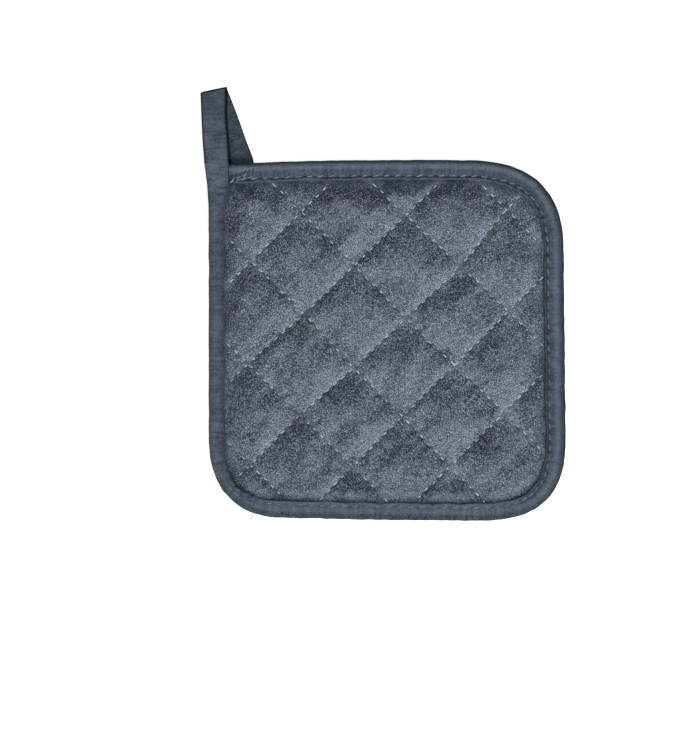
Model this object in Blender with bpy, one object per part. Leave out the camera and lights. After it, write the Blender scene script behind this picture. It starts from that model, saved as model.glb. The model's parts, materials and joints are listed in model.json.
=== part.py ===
"""Quilted pot holder with a corner hanging loop, lying on its silver back.

Four pieces, as they are cut and sewn: a terry front panel and a silver-coated back panel, quilted together
in diamonds, a folded tape that binds their edge, and the tape's free end, which is folded over into a loop
and tacked on the back. The frame is in metres, with +Z up, +Y towards the loop, and the origin at the bottom
centre of the whole holder's box. Sizes below are in millimetres and become metres in make_object.
"""

import math
from collections import namedtuple

import bpy
import numpy as np
from mathutils import Vector
from mathutils.geometry import delaunay_2d_cdt

MM = 0.001

# Driving sizes
PAD_WIDTH = 178.0  # across the bound edges, a 7 inch pot holder
PAD_HEIGHT = 179.6
LOOP_RISE = 36.0  # from the pad's top edge to the loop's fold
LOOP_OVERHANG = 4.2  # how far the leaning loop passes the pad's left edge

# The pad's sides in the frame, whose origin is in the middle of pad and loop together
RIGHT = (PAD_WIDTH + LOOP_OVERHANG) / 2
LEFT = RIGHT - PAD_WIDTH
BOTTOM = -(PAD_HEIGHT + LOOP_RISE) / 2
TOP = BOTTOM + PAD_HEIGHT

# Round corners, clockwise. Each is a quarter of a superellipse that touches the lines x = side_x and
# y = side_y. The reaches say how far from those lines the corner starts, and squareness is its power.
Corner = namedtuple("Corner", "side_x side_y reach_x reach_y starts_at squareness")
CORNERS = (
    Corner(RIGHT - 1.0, TOP - 0.1, 51.0, 47.0, 90.0, 2.60),
    Corner(RIGHT, BOTTOM, 43.0, 42.0, 0.0, 2.50),
    Corner(LEFT, BOTTOM + 1.8, 38.0, 41.5, -90.0, 2.45),
)
# The top-left corner is square. Near it the left edge leans out, on its way into the loop.
SQUARE_CORNER = (LEFT - 1.8, TOP - 1.0)
LEAN_STARTS_Y = TOP - 25.8
TOP_BOW = 0.45  # how far the top edge rises over a straight one
TOP_BOW_END_X = RIGHT - 31.0
OUTLINE_EASE = 4.5  # the outline is averaged over this much to each side

# Thickness through the layers, counted from the middle of the pad outwards
PIECE_GAP = 0.3
CLOTH = 1.0  # a panel where it is sewn flat
TAPE_LAYER = 1.0  # folded tape on each side of the pad
CAVITY = PIECE_GAP / 2 + CLOTH + PIECE_GAP  # half the height inside the folded tape
EDGE_MIDDLE_Z = CAVITY + TAPE_LAYER  # the pad's middle at its bound edge, which lies on the surface
PAD_MIDDLE_Z = 3.2  # the same, away from the edge
PAD_RISE_REACH = 20.0  # the middle rises from the one to the other over this distance
PAD_INSET = 3.3  # the panels end this far inside the tape's outer edge

# Quilting
FRONT_CROWN = 2.4  # how far a terry puff stands over its sewn channels
BACK_CROWN = 2.8  # the same for a silver puff, before the surface flattens it
HALF_PITCH = 18.0  # from a channel to the middle of a diamond
PUFF_POWER = 2.6  # how steeply a puff leaves its channel
PUFF_REACH = 11.0  # puffs grow to their full height this far inside the tape
PUFF_UNEVEN = 0.07  # how much puffs differ, as a share of their height
UNEVEN_WAVE = (19.0, 23.0)  # over x and y, as the lengths that turn the wave by one radian
CHANNEL_SHOULDER = 3.0  # from a channel's bottom to its shoulders
LINE_EASE = 12.0  # a line's bend at a crossing is eased over this much to each side

# Where the quilting lines cross. Rows run from the top down.
CROSSINGS = {
    "A": ((-40.7, 45.9), (11.2, 44.0), (61.3, 47.3)),
    "B": ((-65.8, 21.2), (-14.2, 19.5), (38.9, 18.6)),
    "C": ((-39.2, -5.0), (11.2, -7.1), (62.5, -3.6)),
    "D": ((-67.5, -29.7), (-14.5, -31.8), (35.6, -30.4)),
    "E": ((-41.4, -55.1), (9.5, -55.8), (60.3, -54.0)),
    "F": ((-66.1, -79.8), (-15.2, -80.9), (33.1, -80.9)),
}
RISING_LINES = ("B1 A1", "D1 C1 B2 A2", "F1 E1 D2 C2 B3 A3", "F2 E2 D3 C3", "F3 E3")
FALLING_LINES = ("F1", "D1 E1 F2", "B1 C1 D2 E2 F3", "A1 B2 C2 D3 E3", "A2 B3 C3", "A3")

# Width of the binding on the front and on the back, by the direction in which its edge faces, in degrees
Width = namedtuple("Width", "faces front back")
BINDING_WIDTHS = (
    Width(-180, 7.9, 9.4),
    Width(-135, 7.8, 9.6),
    Width(-90, 8.6, 10.0),
    Width(-45, 9.3, 10.4),
    Width(0, 9.6, 10.4),
    Width(45, 10.0, 10.6),
    Width(90, 9.3, 10.0),
    Width(180, 7.9, 9.4),
)
LAP_EDGE_X = LEFT + 10.4  # the left strip widens to this line, where it laps the start of the top one
LAP_FROM_Y = TOP - 20.3
LAP_FULL_Y = TOP - 13.8
STITCH_FROM_EDGE = 1.8  # the topstitch's groove, from the tape's inner edge
STITCH_DEPTH = 0.35
TAPE_CORNER = 0.3  # rounding of the folded tape's edges
FOLD_THICK = 1.2  # tape at the outer edge, where it folds over

# The tape's end lies under the corner, which it lifts by its own thickness
TAPE_THICK = 1.5
LIFT = TAPE_THICK + PIECE_GAP
LIFTED_X = LEFT + 24.9  # the corner is lifted in full to the left of this and above the next
LIFTED_Y = TOP - 13.8
LIFT_REACH = 36.0  # and comes down to the surface over this distance

# The loop of 12.3 mm tape, from its root at the pad's top edge, up the front leg, round the slanting fold
# and down the back leg to its end under the corner. Each row is one section: how far its left and its right
# edge lie from the pad's left side and above its top edge, its middle's height and its thickness.
LoopSection = namedtuple("LoopSection", "left left_up right right_up middle_z thick")
ROOT_UP = -1.2
FOLD_Z = TAPE_THICK + PIECE_GAP / 2
FOLD_RADIUS = 0.9
LYING_Z = TAPE_THICK / 2
LOOP_SECTIONS = (
    LoopSection(-1.8, ROOT_UP, 10.5, ROOT_UP, EDGE_MIDDLE_Z + LIFT, 2 * EDGE_MIDDLE_Z),
    LoopSection(-1.9, 1.8, 10.5, 1.8, 5.5, 3.2),
    LoopSection(-2.1, 4.8, 10.3, 5.1, 6.8, 1.9),
    LoopSection(-2.6, 9.8, 9.9, 10.5, 7.6, TAPE_THICK),
    LoopSection(-3.1, 15.8, 9.4, 16.8, 7.7, TAPE_THICK),
    LoopSection(-3.4, 21.6, 9.0, 23.4, 6.9, TAPE_THICK),
    LoopSection(-3.7, 26.6, 8.7, 29.0, 5.0, TAPE_THICK),
    LoopSection(-4.0, 30.1, 8.5, 33.0, 3.1, TAPE_THICK),
    LoopSection(-4.1, 31.1, 8.4, 34.3, FOLD_Z + FOLD_RADIUS, TAPE_THICK),
    LoopSection(-LOOP_OVERHANG, 32.0, 8.6, 35.5, FOLD_Z, TAPE_THICK),
    LoopSection(-4.0, 31.1, 8.9, 34.2, FOLD_Z - FOLD_RADIUS, TAPE_THICK),
    LoopSection(-3.3, 29.5, 9.7, 32.4, LYING_Z, TAPE_THICK),
    LoopSection(-0.5, 22.6, 12.3, 26.3, LYING_Z, TAPE_THICK),
    LoopSection(2.9, 14.4, 15.5, 18.4, LYING_Z, TAPE_THICK),
    LoopSection(6.2, 6.4, 18.7, 10.0, LYING_Z, TAPE_THICK),
    LoopSection(9.6, -1.6, 22.0, 0.8, LYING_Z, TAPE_THICK),
    LoopSection(10.2, -6.2, 22.4, -5.4, LYING_Z, TAPE_THICK),
    LoopSection(10.3, -11.0, 22.5, -11.0, LYING_Z, TAPE_THICK),
)

# How finely the solids are cut, in millimetres unless a comment says otherwise
OUTLINE_STEP = 0.5
BINDING_STEP = 10.0
BINDING_TURN = 8.0  # degrees
LAP_FINER = 3.0  # times more sections where the binding's width changes
RING_STEP = 5.5
RING_SLACK = 0.35  # how much nearer to the edge a ring's point may come before it is left out
LINE_STEP = 5.5
LINE_END = 1.5  # the lines' own points start this far inside the tape
FILL_STEP = 6.5
MIDDLE_STEP = 16.0
FACE_RINGS = (0.4, 3.6, 8.0)  # rows of points round a panel's face, as distances inside the tape
MIDDLE_RINGS = (0.4, 9.0)  # the same for its inner side
LOOP_STEPS = 3  # sections between two rows of the table
MERGE = 0.5  # points of the quilting plan nearer than this become one

COLOURS = {  # linear base colour and roughness
    "terry": ((0.112, 0.128, 0.160), 0.95),
    "silver_cloth": ((0.62, 0.68, 0.74), 0.45),
    "binding_tape": ((0.078, 0.102, 0.128), 0.85),
}


def smoothstep(values):
    """0 below 0, 1 above 1, and 3 v^2 - 2 v^3 between."""
    v = np.clip(values, 0.0, 1.0)
    return v * v * (3.0 - 2.0 * v)


def corner_arc(corner):
    """A quarter superellipse, clockwise: x = cx + a |cos t|^(2/n), y = cy + b |sin t|^(2/n), with signs."""
    t = np.radians(np.linspace(corner.starts_at, corner.starts_at - 90.0, 90))
    cos_t, sin_t = np.cos(t), np.sin(t)
    power = 2.0 / corner.squareness
    centre_x = corner.side_x - math.copysign(corner.reach_x, corner.side_x)
    centre_y = corner.side_y - math.copysign(corner.reach_y, corner.side_y)
    x = centre_x + corner.reach_x * np.sign(cos_t) * np.abs(cos_t) ** power
    y = centre_y + corner.reach_y * np.sign(sin_t) * np.abs(sin_t) ** power
    return np.stack([x, y], axis=1)


def by_length(points, step):
    """The same line with points a step apart."""
    lengths = np.concatenate([[0.0], np.cumsum(np.linalg.norm(np.diff(points, axis=0), axis=1))])
    count = int(round(lengths[-1] / step)) + 1
    at = np.linspace(0.0, lengths[-1], count)
    return np.stack([np.interp(at, lengths, points[:, k]) for k in (0, 1)], axis=1)


def eased(line, reach):
    """The line with each point averaged over the reach to both sides. Its two ends stay."""
    half = int(round(reach / OUTLINE_STEP))
    before = 2 * line[0] - line[half:0:-1]
    after = 2 * line[-1] - line[-2:-half - 2:-1]
    longer = np.concatenate([before, line, after])
    kernel = np.ones(2 * half + 1) / (2 * half + 1)
    return np.stack([np.convolve(longer[:, k], kernel, mode="valid") for k in (0, 1)], axis=1)


def edge_outline():
    """The pad's bound edge, clockwise from the square top-left corner and back to it.

    The corners' arcs and the straight sides between them are read at even steps and averaged, which rounds
    the small kinks where a side meets an arc. The top side gets its low bow, one arch of a sine."""
    share = np.linspace(0.0, 1.0, 20)
    lean_x = LEFT + smoothstep(share) * (SQUARE_CORNER[0] - LEFT)
    lean_y = LEAN_STARTS_Y + share * (SQUARE_CORNER[1] - LEAN_STARTS_Y)
    sides = [np.array([SQUARE_CORNER])]
    sides += [corner_arc(corner) for corner in CORNERS]
    sides.append(np.stack([lean_x, lean_y], axis=1))
    line = eased(by_length(np.concatenate(sides), OUTLINE_STEP), OUTLINE_EASE)
    along_top = np.clip((line[:, 0] - LEFT) / (TOP_BOW_END_X - LEFT), 0.0, 1.0)
    on_top = line[:, 1] > (TOP + BOTTOM) / 2
    line[:, 1] += TOP_BOW * np.sin(math.pi * along_top) * on_top
    return line


def inward_normals(line):
    """Unit vectors that point into the pad, from a clockwise outline."""
    tangents = np.gradient(line, axis=0)
    tangents /= np.linalg.norm(tangents, axis=1)[:, None]
    return np.stack([tangents[:, 1], -tangents[:, 0]], axis=1)


OUTLINE = edge_outline()
INWARD = inward_normals(OUTLINE)
FACES = np.degrees(np.arctan2(-INWARD[:, 1], -INWARD[:, 0]))
ON_LEFT_SIDE = (OUTLINE[:, 0] < 0.0) & (np.arange(len(OUTLINE)) > len(OUTLINE) // 2)


def binding_widths():
    """Front and back widths of the tape at each outline point, with the lap at the end of the left side."""
    faces = [row.faces for row in BINDING_WIDTHS]
    front = np.interp(FACES, faces, [row.front for row in BINDING_WIDTHS])
    back = np.interp(FACES, faces, [row.back for row in BINDING_WIDTHS])
    lap = smoothstep((OUTLINE[:, 1] - LAP_FROM_Y) / (LAP_FULL_Y - LAP_FROM_Y)) * ON_LEFT_SIDE
    lap_width = LAP_EDGE_X - OUTLINE[:, 0]
    return front + lap * (lap_width - front), back + lap * (lap_width - back)


FRONT_WIDTHS, BACK_WIDTHS = binding_widths()


def inside_tape(points, widths):
    """How far points lie inside the tape's inner edge: their distance inside the outline less the tape's
    width there."""
    apart = np.linalg.norm(points[:, None, :] - OUTLINE[None, :, :], axis=2)
    nearest = apart.argmin(axis=1)
    inwards = np.sum((points - OUTLINE[nearest]) * INWARD[nearest], axis=1)
    within = (inwards > 0.0) & (points[:, 0] > SQUARE_CORNER[0])
    return apart[np.arange(len(points)), nearest] * np.where(within, 1.0, -1.0) - widths[nearest]


def runs_and_offsets(points, rising):
    """Where points lie along and across the quilting lines: x + y and y - x for lines that rise to the right,
    the other way round for those that fall."""
    sums, differences = points[:, 0] + points[:, 1], points[:, 1] - points[:, 0]
    return (sums, differences) if rising else (differences, sums)


def quilting_line(names, rising):
    """A line as its runs and offsets at its crossings, in order, and whether it rises."""
    spots = np.array([CROSSINGS[name[0]][int(name[1]) - 1] for name in names.split()])
    runs, offsets = runs_and_offsets(spots, rising)
    order = np.argsort(runs)
    return runs[order], offsets[order], rising


LINES = [quilting_line(names, True) for names in RISING_LINES]
LINES += [quilting_line(names, False) for names in FALLING_LINES]


def offset_at(line, run):
    """The line's offset at a run, straight from crossing to crossing with its bends eased."""
    runs, offsets, _ = line
    return sum(np.interp(run + shift, runs, offsets) for shift in (-LINE_EASE, 0.0, LINE_EASE)) / 3.0


def channel_distance(points, rising):
    """Distance from points to the nearest quilting line that rises, or falls, to the right."""
    runs, offsets = runs_and_offsets(points, rising)
    family = [line for line in LINES if line[2] == rising]
    return np.min([np.abs(offsets - offset_at(line, runs)) for line in family], axis=0) / math.sqrt(2.0)


def puff(points):
    """0 on the quilting lines and about 1 in the middle of a diamond: 1 - (1 - d / half pitch)^power for
    each of the two families of lines, multiplied, and a little uneven from one diamond to the next."""
    height = np.ones(len(points))
    for rising in (True, False):
        d = np.clip(channel_distance(points, rising) / HALF_PITCH, 0.0, 1.0)
        height *= 1.0 - (1.0 - d) ** PUFF_POWER
    wave = np.sin(points[:, 0] / UNEVEN_WAVE[0] + 1.3) * np.sin(points[:, 1] / UNEVEN_WAVE[1] - 0.6)
    return height * (1.0 + PUFF_UNEVEN * wave)


def lift(points):
    """How far the tape's end lifts the pad off the surface: in full at the top-left corner, then less."""
    dx = np.maximum(points[:, 0] - LIFTED_X, 0.0)
    dy = np.maximum(LIFTED_Y - points[:, 1], 0.0)
    return LIFT * (1.0 - smoothstep(np.hypot(dx, dy) / LIFT_REACH))


def middle_z(points):
    """Height of the pad's middle: low along the bound edge, higher inside, lifted at the corner."""
    inside = smoothstep(inside_tape(points, BACK_WIDTHS) / PAD_RISE_REACH)
    return EDGE_MIDDLE_Z + (PAD_MIDDLE_Z - EDGE_MIDDLE_Z) * inside + lift(points)


def front_z(points):
    """The terry's face: cloth over the pad's middle, and a puff in each diamond."""
    grown = smoothstep(inside_tape(points, FRONT_WIDTHS) / PUFF_REACH)
    return middle_z(points) + PIECE_GAP / 2 + CLOTH + FRONT_CROWN * grown * puff(points)


def back_z(points):
    """The silver cloth's face: the same downwards, pressed flat where it would pass the surface."""
    grown = smoothstep(inside_tape(points, BACK_WIDTHS) / PUFF_REACH)
    free = middle_z(points) - PIECE_GAP / 2 - CLOTH - BACK_CROWN * grown * puff(points)
    return np.maximum(free, 0.0)


def cut_edge():
    """The panels' closed cut edge: the outline moved in by PAD_INSET, with its square corner kept."""
    ring = OUTLINE + INWARD * PAD_INSET
    corner = np.array([SQUARE_CORNER[0] + PAD_INSET, TOP + ROOT_UP - 2 * PIECE_GAP])
    near = RING_STEP / 2
    past_corner = (ring[:, 0] < corner[0] + near) & (ring[:, 1] > corner[1] - near)
    ring = ring[~past_corner][::int(round(RING_STEP / OUTLINE_STEP))]
    return np.concatenate([corner[None, :], ring])


def seam_ring(widths, inside):
    """Points at one distance inside the tape's inner edge, without those that the corner cuts off."""
    ring = (OUTLINE + INWARD * (widths + inside)[:, None])[::int(round(RING_STEP / OUTLINE_STEP))]
    return ring, inside_tape(ring, widths) > inside - RING_SLACK


def channel_rows(widths):
    """Each quilting line with a row along its bottom and one along each shoulder, inside the tape."""
    reach = RIGHT - BOTTOM  # no point of the pad has a larger x + y or y - x
    runs = np.arange(-reach, reach, LINE_STEP * math.sqrt(2.0))
    for line in LINES:
        for side in (-CHANNEL_SHOULDER, 0.0, CHANNEL_SHOULDER):
            offsets = offset_at(line, runs) + side * math.sqrt(2.0)
            sums, differences = (runs, offsets) if line[2] else (offsets, runs)
            row = np.stack([(sums - differences) / 2, (sums + differences) / 2], axis=1)
            yield row, inside_tape(row, widths) > LINE_END


def fill_points(step, widths, least_inside, clear_of_lines):
    """A staggered grid over the pad, kept clear of its edge and of the quilting lines."""
    xs, ys = np.arange(LEFT, RIGHT, step), np.arange(BOTTOM, TOP, step * 0.87)
    grid = np.stack(np.meshgrid(xs, ys), axis=-1)
    grid[1::2, :, 0] += step / 2
    points = grid.reshape(-1, 2)
    points = points[inside_tape(points, widths) > least_inside]
    for rising in (True, False):
        points = points[channel_distance(points, rising) > clear_of_lines]
    return points


def triangulate(edge, rows, loose):
    """Triangles over the closed edge, with edges along the rows and points at the loose ones. The last list
    says which of the plan's points the edge's points became."""
    points = list(edge)
    links = [(k, (k + 1) % len(edge)) for k in range(len(edge))]
    for row, keep in rows:
        last_kept = False
        for spot, kept in zip(row, keep):
            if kept:
                points.append(spot)
            if kept and last_kept:
                links.append((len(points) - 2, len(points) - 1))
            last_kept = kept
    points += list(loose)
    found = delaunay_2d_cdt([Vector(p) for p in points], links, [], 1, MERGE)
    plan = np.array([tuple(v) for v in found[0]])
    became = {old: new for new, olds in enumerate(found[3]) for old in olds}
    return plan, [tuple(face) for face in found[2]], [became[k] for k in range(len(edge))]


def panel(widths, face_z, middle_shift, face_up):
    """A closed panel: its quilted face, its plain inner side along the pad's middle, and its cut edge."""
    edge = cut_edge()
    rings = [seam_ring(widths, inside) for inside in FACE_RINGS]
    fill = fill_points(FILL_STEP, widths, FACE_RINGS[-1] + FILL_STEP / 3, CHANNEL_SHOULDER + FILL_STEP / 3)
    face_plan, face_tris, face_edge = triangulate(edge, rings + list(channel_rows(widths)), fill)
    rings = [seam_ring(widths, inside) for inside in MIDDLE_RINGS]
    fill = fill_points(MIDDLE_STEP, widths, MIDDLE_RINGS[-1] + MIDDLE_STEP / 3, 0.0)
    middle_plan, middle_tris, middle_edge = triangulate(edge, rings, fill)
    first = len(face_plan)
    vertices = np.concatenate([
        np.column_stack([face_plan, face_z(face_plan)]),
        np.column_stack([middle_plan, middle_z(middle_plan) + middle_shift]),
    ])
    face_order = slice(None) if face_up else slice(None, None, -1)
    middle_order = slice(None, None, -1) if face_up else slice(None)
    faces = [face[face_order] for face in face_tris]
    faces += [tuple(first + v for v in face)[middle_order] for face in middle_tris]
    count = len(edge)
    for k in range(count):
        after = (k + 1) % count
        side = (face_edge[k], face_edge[after], first + middle_edge[after], first + middle_edge[k])
        faces.append(side[face_order])
    return vertices, faces


def binding_profile(front, back):
    """The folded tape's section as (inwards, height) points, from the front's inner edge over the outer edge
    to the back's, and back inside along the pad. The outer edge is rounded, the underside flat, and the
    topstitch draws a groove near the front's inner edge."""
    top = EDGE_MIDDLE_Z
    outside = [
        (front, CAVITY + 0.15),
        (front - TAPE_CORNER, top - TAPE_CORNER),
        (front - STITCH_FROM_EDGE, top - STITCH_DEPTH),
        (front - 2 * STITCH_FROM_EDGE, top),
        (front * 0.45, top),
        (1.9, top - TAPE_CORNER),
        (0.5, CAVITY - TAPE_CORNER),
        (0.0, 0.0),
        (0.5, TAPE_CORNER - CAVITY),
        (1.9, TAPE_CORNER - top),
        (PAD_INSET, -top),
        (back - TAPE_CORNER, -top),
        (back, -CAVITY - 0.15),
    ]
    inside = [
        (back - TAPE_CORNER, -CAVITY),
        (PAD_INSET - PIECE_GAP, -CAVITY),
        (FOLD_THICK, -0.5 * CAVITY),
        (FOLD_THICK, 0.5 * CAVITY),
        (PAD_INSET - PIECE_GAP, CAVITY),
        (front - TAPE_CORNER, CAVITY),
    ]
    return np.array(outside + inside)


def binding_stations():
    """Outline points that carry a section: one for each BINDING_STEP of length and BINDING_TURN of turning,
    counted together, from beside the lap at the top-left corner round to the pad's top-left end."""
    start = np.argmax(OUTLINE[:, 0] > LAP_EDGE_X + PIECE_GAP)
    end = np.argmax(ON_LEFT_SIDE & (OUTLINE[:, 1] > TOP + ROOT_UP - PIECE_GAP)) - 1
    turning = np.abs(np.degrees(np.diff(np.unwrap(np.radians(FACES)))))
    lapped = ON_LEFT_SIDE[1:] & (OUTLINE[1:, 1] > LAP_FROM_Y)
    measure = OUTLINE_STEP / BINDING_STEP * (1.0 + LAP_FINER * lapped) + turning / BINDING_TURN
    total = np.concatenate([[0.0], np.cumsum(measure[start:end])])
    count = int(round(total[-1])) + 1
    return start + np.searchsorted(total, np.linspace(0.0, total[-1] - 1e-9, count))


def binding():
    """The tape carried along the outline: each section stands square to the edge, round the pad's middle.
    In the lap the sections run level, so that the last one closes flat against the loop's root."""
    sections = []
    for station in binding_stations():
        profile = binding_profile(FRONT_WIDTHS[station], BACK_WIDTHS[station])[::-1]
        across = INWARD[station]
        if ON_LEFT_SIDE[station] and OUTLINE[station, 1] > LAP_FROM_Y:
            across = np.array([1.0, 0.0])
        flat = OUTLINE[station] + profile[:, :1] * across
        sections.append(np.column_stack([flat, EDGE_MIDDLE_Z + profile[:, 1] + lift(flat)]))
    sections[0][:, 0] = LAP_EDGE_X + PIECE_GAP
    sections[-1][:, 1] = TOP + ROOT_UP - PIECE_GAP
    return skin(sections)


def skin(sections):
    """A closed body through a row of like sections, with a flat cap at each end."""
    count = len(sections[0])
    faces = []
    for row in range(len(sections) - 1):
        for k in range(count):
            after = (k + 1) % count
            a, b = row * count + k, row * count + after
            faces.append((a, b, b + count, a + count))
    last = (len(sections) - 1) * count
    faces.append(tuple(range(count))[::-1])
    faces.append(tuple(range(last, last + count)))
    return np.concatenate(sections), faces


def tape_section(thick):
    """The closed tape's section as rows of side, -1 left or 1 right, distance in from that side, and height.
    Its edges are rounded over about their own thickness."""
    half = thick / 2
    round_by = min(half, 1.9)
    edge = [(0.0, 0.0), (0.27 * round_by, 0.55 * half), (round_by, 0.9 * half), (2.1 * round_by, half)]
    left = [(-1.0, inset, height) for inset, height in edge]
    right = [(1.0, inset, height) for inset, height in reversed(edge)]
    under = [(side, inset, -height) for side, inset, height in reversed(left[1:] + right[:-1])]
    return np.array(left + right + under)


def between(rows, steps):
    """Rows of a table read along a smooth curve through them: a Catmull-Rom spline, steps to a stretch."""
    table = np.array(rows, dtype=float)
    before = np.concatenate([table[:1], table[:-1]])
    after = np.concatenate([table[1:], table[-1:]])
    slopes = (after - before) / 2
    u = np.linspace(0.0, 1.0, steps, endpoint=False)[:, None]
    pieces = []
    for k in range(len(table) - 1):
        a, b, m, n = table[k], table[k + 1], slopes[k], slopes[k + 1]
        pieces.append(a + u * m + u**2 * (3 * (b - a) - 2 * m - n) + u**3 * (2 * (a - b) + m + n))
    return np.concatenate(pieces + [table[-1:]])


def hanging_loop():
    """The closed tape carried along the loop: each section spans from its left to its right edge, with its
    thickness square to the tape."""
    table = between(LOOP_SECTIONS, LOOP_STEPS)
    thick = table[:, 5]
    height = np.maximum(table[:, 4], thick / 2)  # no lower than the surface
    left = np.column_stack([LEFT + table[:, 0], TOP + table[:, 1], height])
    right = np.column_stack([LEFT + table[:, 2], TOP + table[:, 3], height])
    middle = (left + right) / 2
    along = np.gradient(middle, axis=0)
    along[0] = (0.0, 1.0, 0.0)  # the root stands flat against the binding's end
    across = (right - left) / 2
    up = np.cross(across, along)
    up /= np.linalg.norm(up, axis=1)[:, None]
    sections = []
    for k in range(len(table)):
        side, inset, rise = tape_section(thick[k]).T
        reach = side * (1.0 - inset / np.linalg.norm(across[k]))
        sections.append(middle[k] + reach[:, None] * across[k] + rise[:, None] * up[k])
    return skin(sections)


def material(name):
    """A Principled BSDF with the cloth's colour and roughness."""
    colour, roughness = COLOURS[name]
    made = bpy.data.materials.new(name)
    made.use_nodes = True
    shader = made.node_tree.nodes["Principled BSDF"]
    shader.inputs["Base Color"].default_value = (*colour, 1.0)
    shader.inputs["Roughness"].default_value = roughness
    made.diffuse_color = (*colour, 1.0)
    return made


def make_object(name, shape, cloth):
    """An object in metres from vertices in millimetres, smooth but for its folds."""
    vertices, faces = shape
    mesh = bpy.data.meshes.new(name)
    mesh.from_pydata((vertices * MM).tolist(), [], faces)
    mesh.validate()
    mesh.shade_smooth()
    mesh.set_sharp_from_angle(angle=math.radians(50.0))
    mesh.materials.append(cloth)
    made = bpy.data.objects.new(name, mesh)
    bpy.context.scene.collection.objects.link(made)
    return made


def main():
    """Builds the four pieces."""
    for old in list(bpy.context.scene.objects):
        bpy.data.objects.remove(old, do_unlink=True)
    terry, silver, tape = (material(name) for name in ("terry", "silver_cloth", "binding_tape"))
    make_object("terry_face", panel(FRONT_WIDTHS, front_z, PIECE_GAP / 2, True), terry)
    make_object("silver_back", panel(BACK_WIDTHS, back_z, -PIECE_GAP / 2, False), silver)
    make_object("edge_binding", binding(), tape)
    make_object("hanging_loop", hanging_loop(), tape)


main()
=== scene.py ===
# %% [markdown]
# # A quilted pot holder, sewn in code
# A pot holder is two cloths with wadding between them, quilted through in diamonds. A folded tape binds the
# edge, and its free end becomes the hanging loop. This lesson makes each cloth as a sheet of numpy points, lays
# pile and thread on it, and paints it with nodes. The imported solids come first: they say where everything goes.

# %% Load the solids
import bpy
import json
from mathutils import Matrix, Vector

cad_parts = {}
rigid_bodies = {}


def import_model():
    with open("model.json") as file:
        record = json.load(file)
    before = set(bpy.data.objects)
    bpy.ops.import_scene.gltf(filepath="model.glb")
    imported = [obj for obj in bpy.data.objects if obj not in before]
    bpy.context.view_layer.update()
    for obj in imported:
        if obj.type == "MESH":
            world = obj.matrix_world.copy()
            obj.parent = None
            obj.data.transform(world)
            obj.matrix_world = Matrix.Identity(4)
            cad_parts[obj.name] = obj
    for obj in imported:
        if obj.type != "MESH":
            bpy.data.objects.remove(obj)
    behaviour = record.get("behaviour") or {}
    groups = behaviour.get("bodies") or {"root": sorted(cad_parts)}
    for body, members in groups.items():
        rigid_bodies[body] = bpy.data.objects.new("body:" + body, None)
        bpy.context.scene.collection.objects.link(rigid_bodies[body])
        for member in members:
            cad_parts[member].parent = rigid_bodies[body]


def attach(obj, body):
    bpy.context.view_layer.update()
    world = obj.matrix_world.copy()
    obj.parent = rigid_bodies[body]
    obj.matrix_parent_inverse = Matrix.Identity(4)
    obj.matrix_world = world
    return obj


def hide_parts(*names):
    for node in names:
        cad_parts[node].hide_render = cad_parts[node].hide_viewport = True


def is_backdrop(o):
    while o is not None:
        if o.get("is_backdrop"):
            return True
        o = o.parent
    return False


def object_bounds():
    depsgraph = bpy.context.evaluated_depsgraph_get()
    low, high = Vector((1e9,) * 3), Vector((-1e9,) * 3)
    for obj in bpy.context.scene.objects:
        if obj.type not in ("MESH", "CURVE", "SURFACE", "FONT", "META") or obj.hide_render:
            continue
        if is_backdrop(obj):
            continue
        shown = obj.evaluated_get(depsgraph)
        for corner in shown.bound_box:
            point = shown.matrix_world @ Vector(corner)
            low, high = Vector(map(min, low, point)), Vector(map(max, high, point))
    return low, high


for left_over in list(bpy.data.objects):  # the cube, lamp and camera that Blender starts with
    bpy.data.objects.remove(left_over)
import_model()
solids_low, solids_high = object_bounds()


def say_reach(what, low, high):
    """Prints a box in millimetres."""
    print(what, "reach from", *([round(v * 1000, 1) for v in corner] for corner in (low, high)))


say_reach("the solids", solids_low, solids_high)

# %% [markdown]
# ## Tools
# All shapes are worked out in millimetres, as a maker measures, and become metres in the mesh. Numpy works on
# whole arrays of points at once, which is much faster than a loop over them.

# %% Imports, the smooth step and unit vectors
import json
import math
from collections import namedtuple

import numpy as np

MM = 0.001


def smoothstep(values):
    """0 below 0, 1 above 1, and 3 v^2 - 2 v^3 between."""
    v = np.clip(values, 0.0, 1.0)
    return v * v * (3.0 - 2.0 * v)


def unit(vectors):
    """Vectors divided by their lengths."""
    return vectors / np.linalg.norm(vectors, axis=-1, keepdims=True)


# %% [markdown]
# Cloth is never even. A sum of plane waves in random directions gives soft, seeded relief. It could come from a
# noise texture, but here the points themselves need to know it.

# %% Random relief
def ripples(points, size, seed, waves=18):
    """Relief of about unit height: the sum of cosines of plane waves, their lengths near size and their
    directions and starts drawn at random."""
    draw = np.random.default_rng(seed)
    turns, starts = draw.uniform(0.0, 2.0 * np.pi, (2, waves))
    rates = 2.0 * np.pi / (size * draw.uniform(0.7, 1.5, waves))
    phases = points @ (rates * np.stack([np.cos(turns), np.sin(turns)])) + starts
    return np.cos(phases).sum(axis=1) * math.sqrt(2.0 / waves)


# %% [markdown]
# A mesh is a list of points and a list of faces. Faces of a grid follow from its row and column numbers, and
# foreach_set copies whole arrays into Blender in one step.

# %% Grids into meshes
def grid_faces(rows, columns, first=0, wrap=False):
    """Quads between neighbouring points of a grid that is stored row by row. With wrap, the last column joins
    the first."""
    index = first + np.arange(rows * columns).reshape(rows, columns)
    if wrap:
        index = np.concatenate([index, index[:, :1]], axis=1)
    a, b, c, d = index[:-1, :-1], index[:-1, 1:], index[1:, 1:], index[1:, :-1]
    return np.stack([a, b, c, d], axis=-1).reshape(-1, 4)


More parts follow.
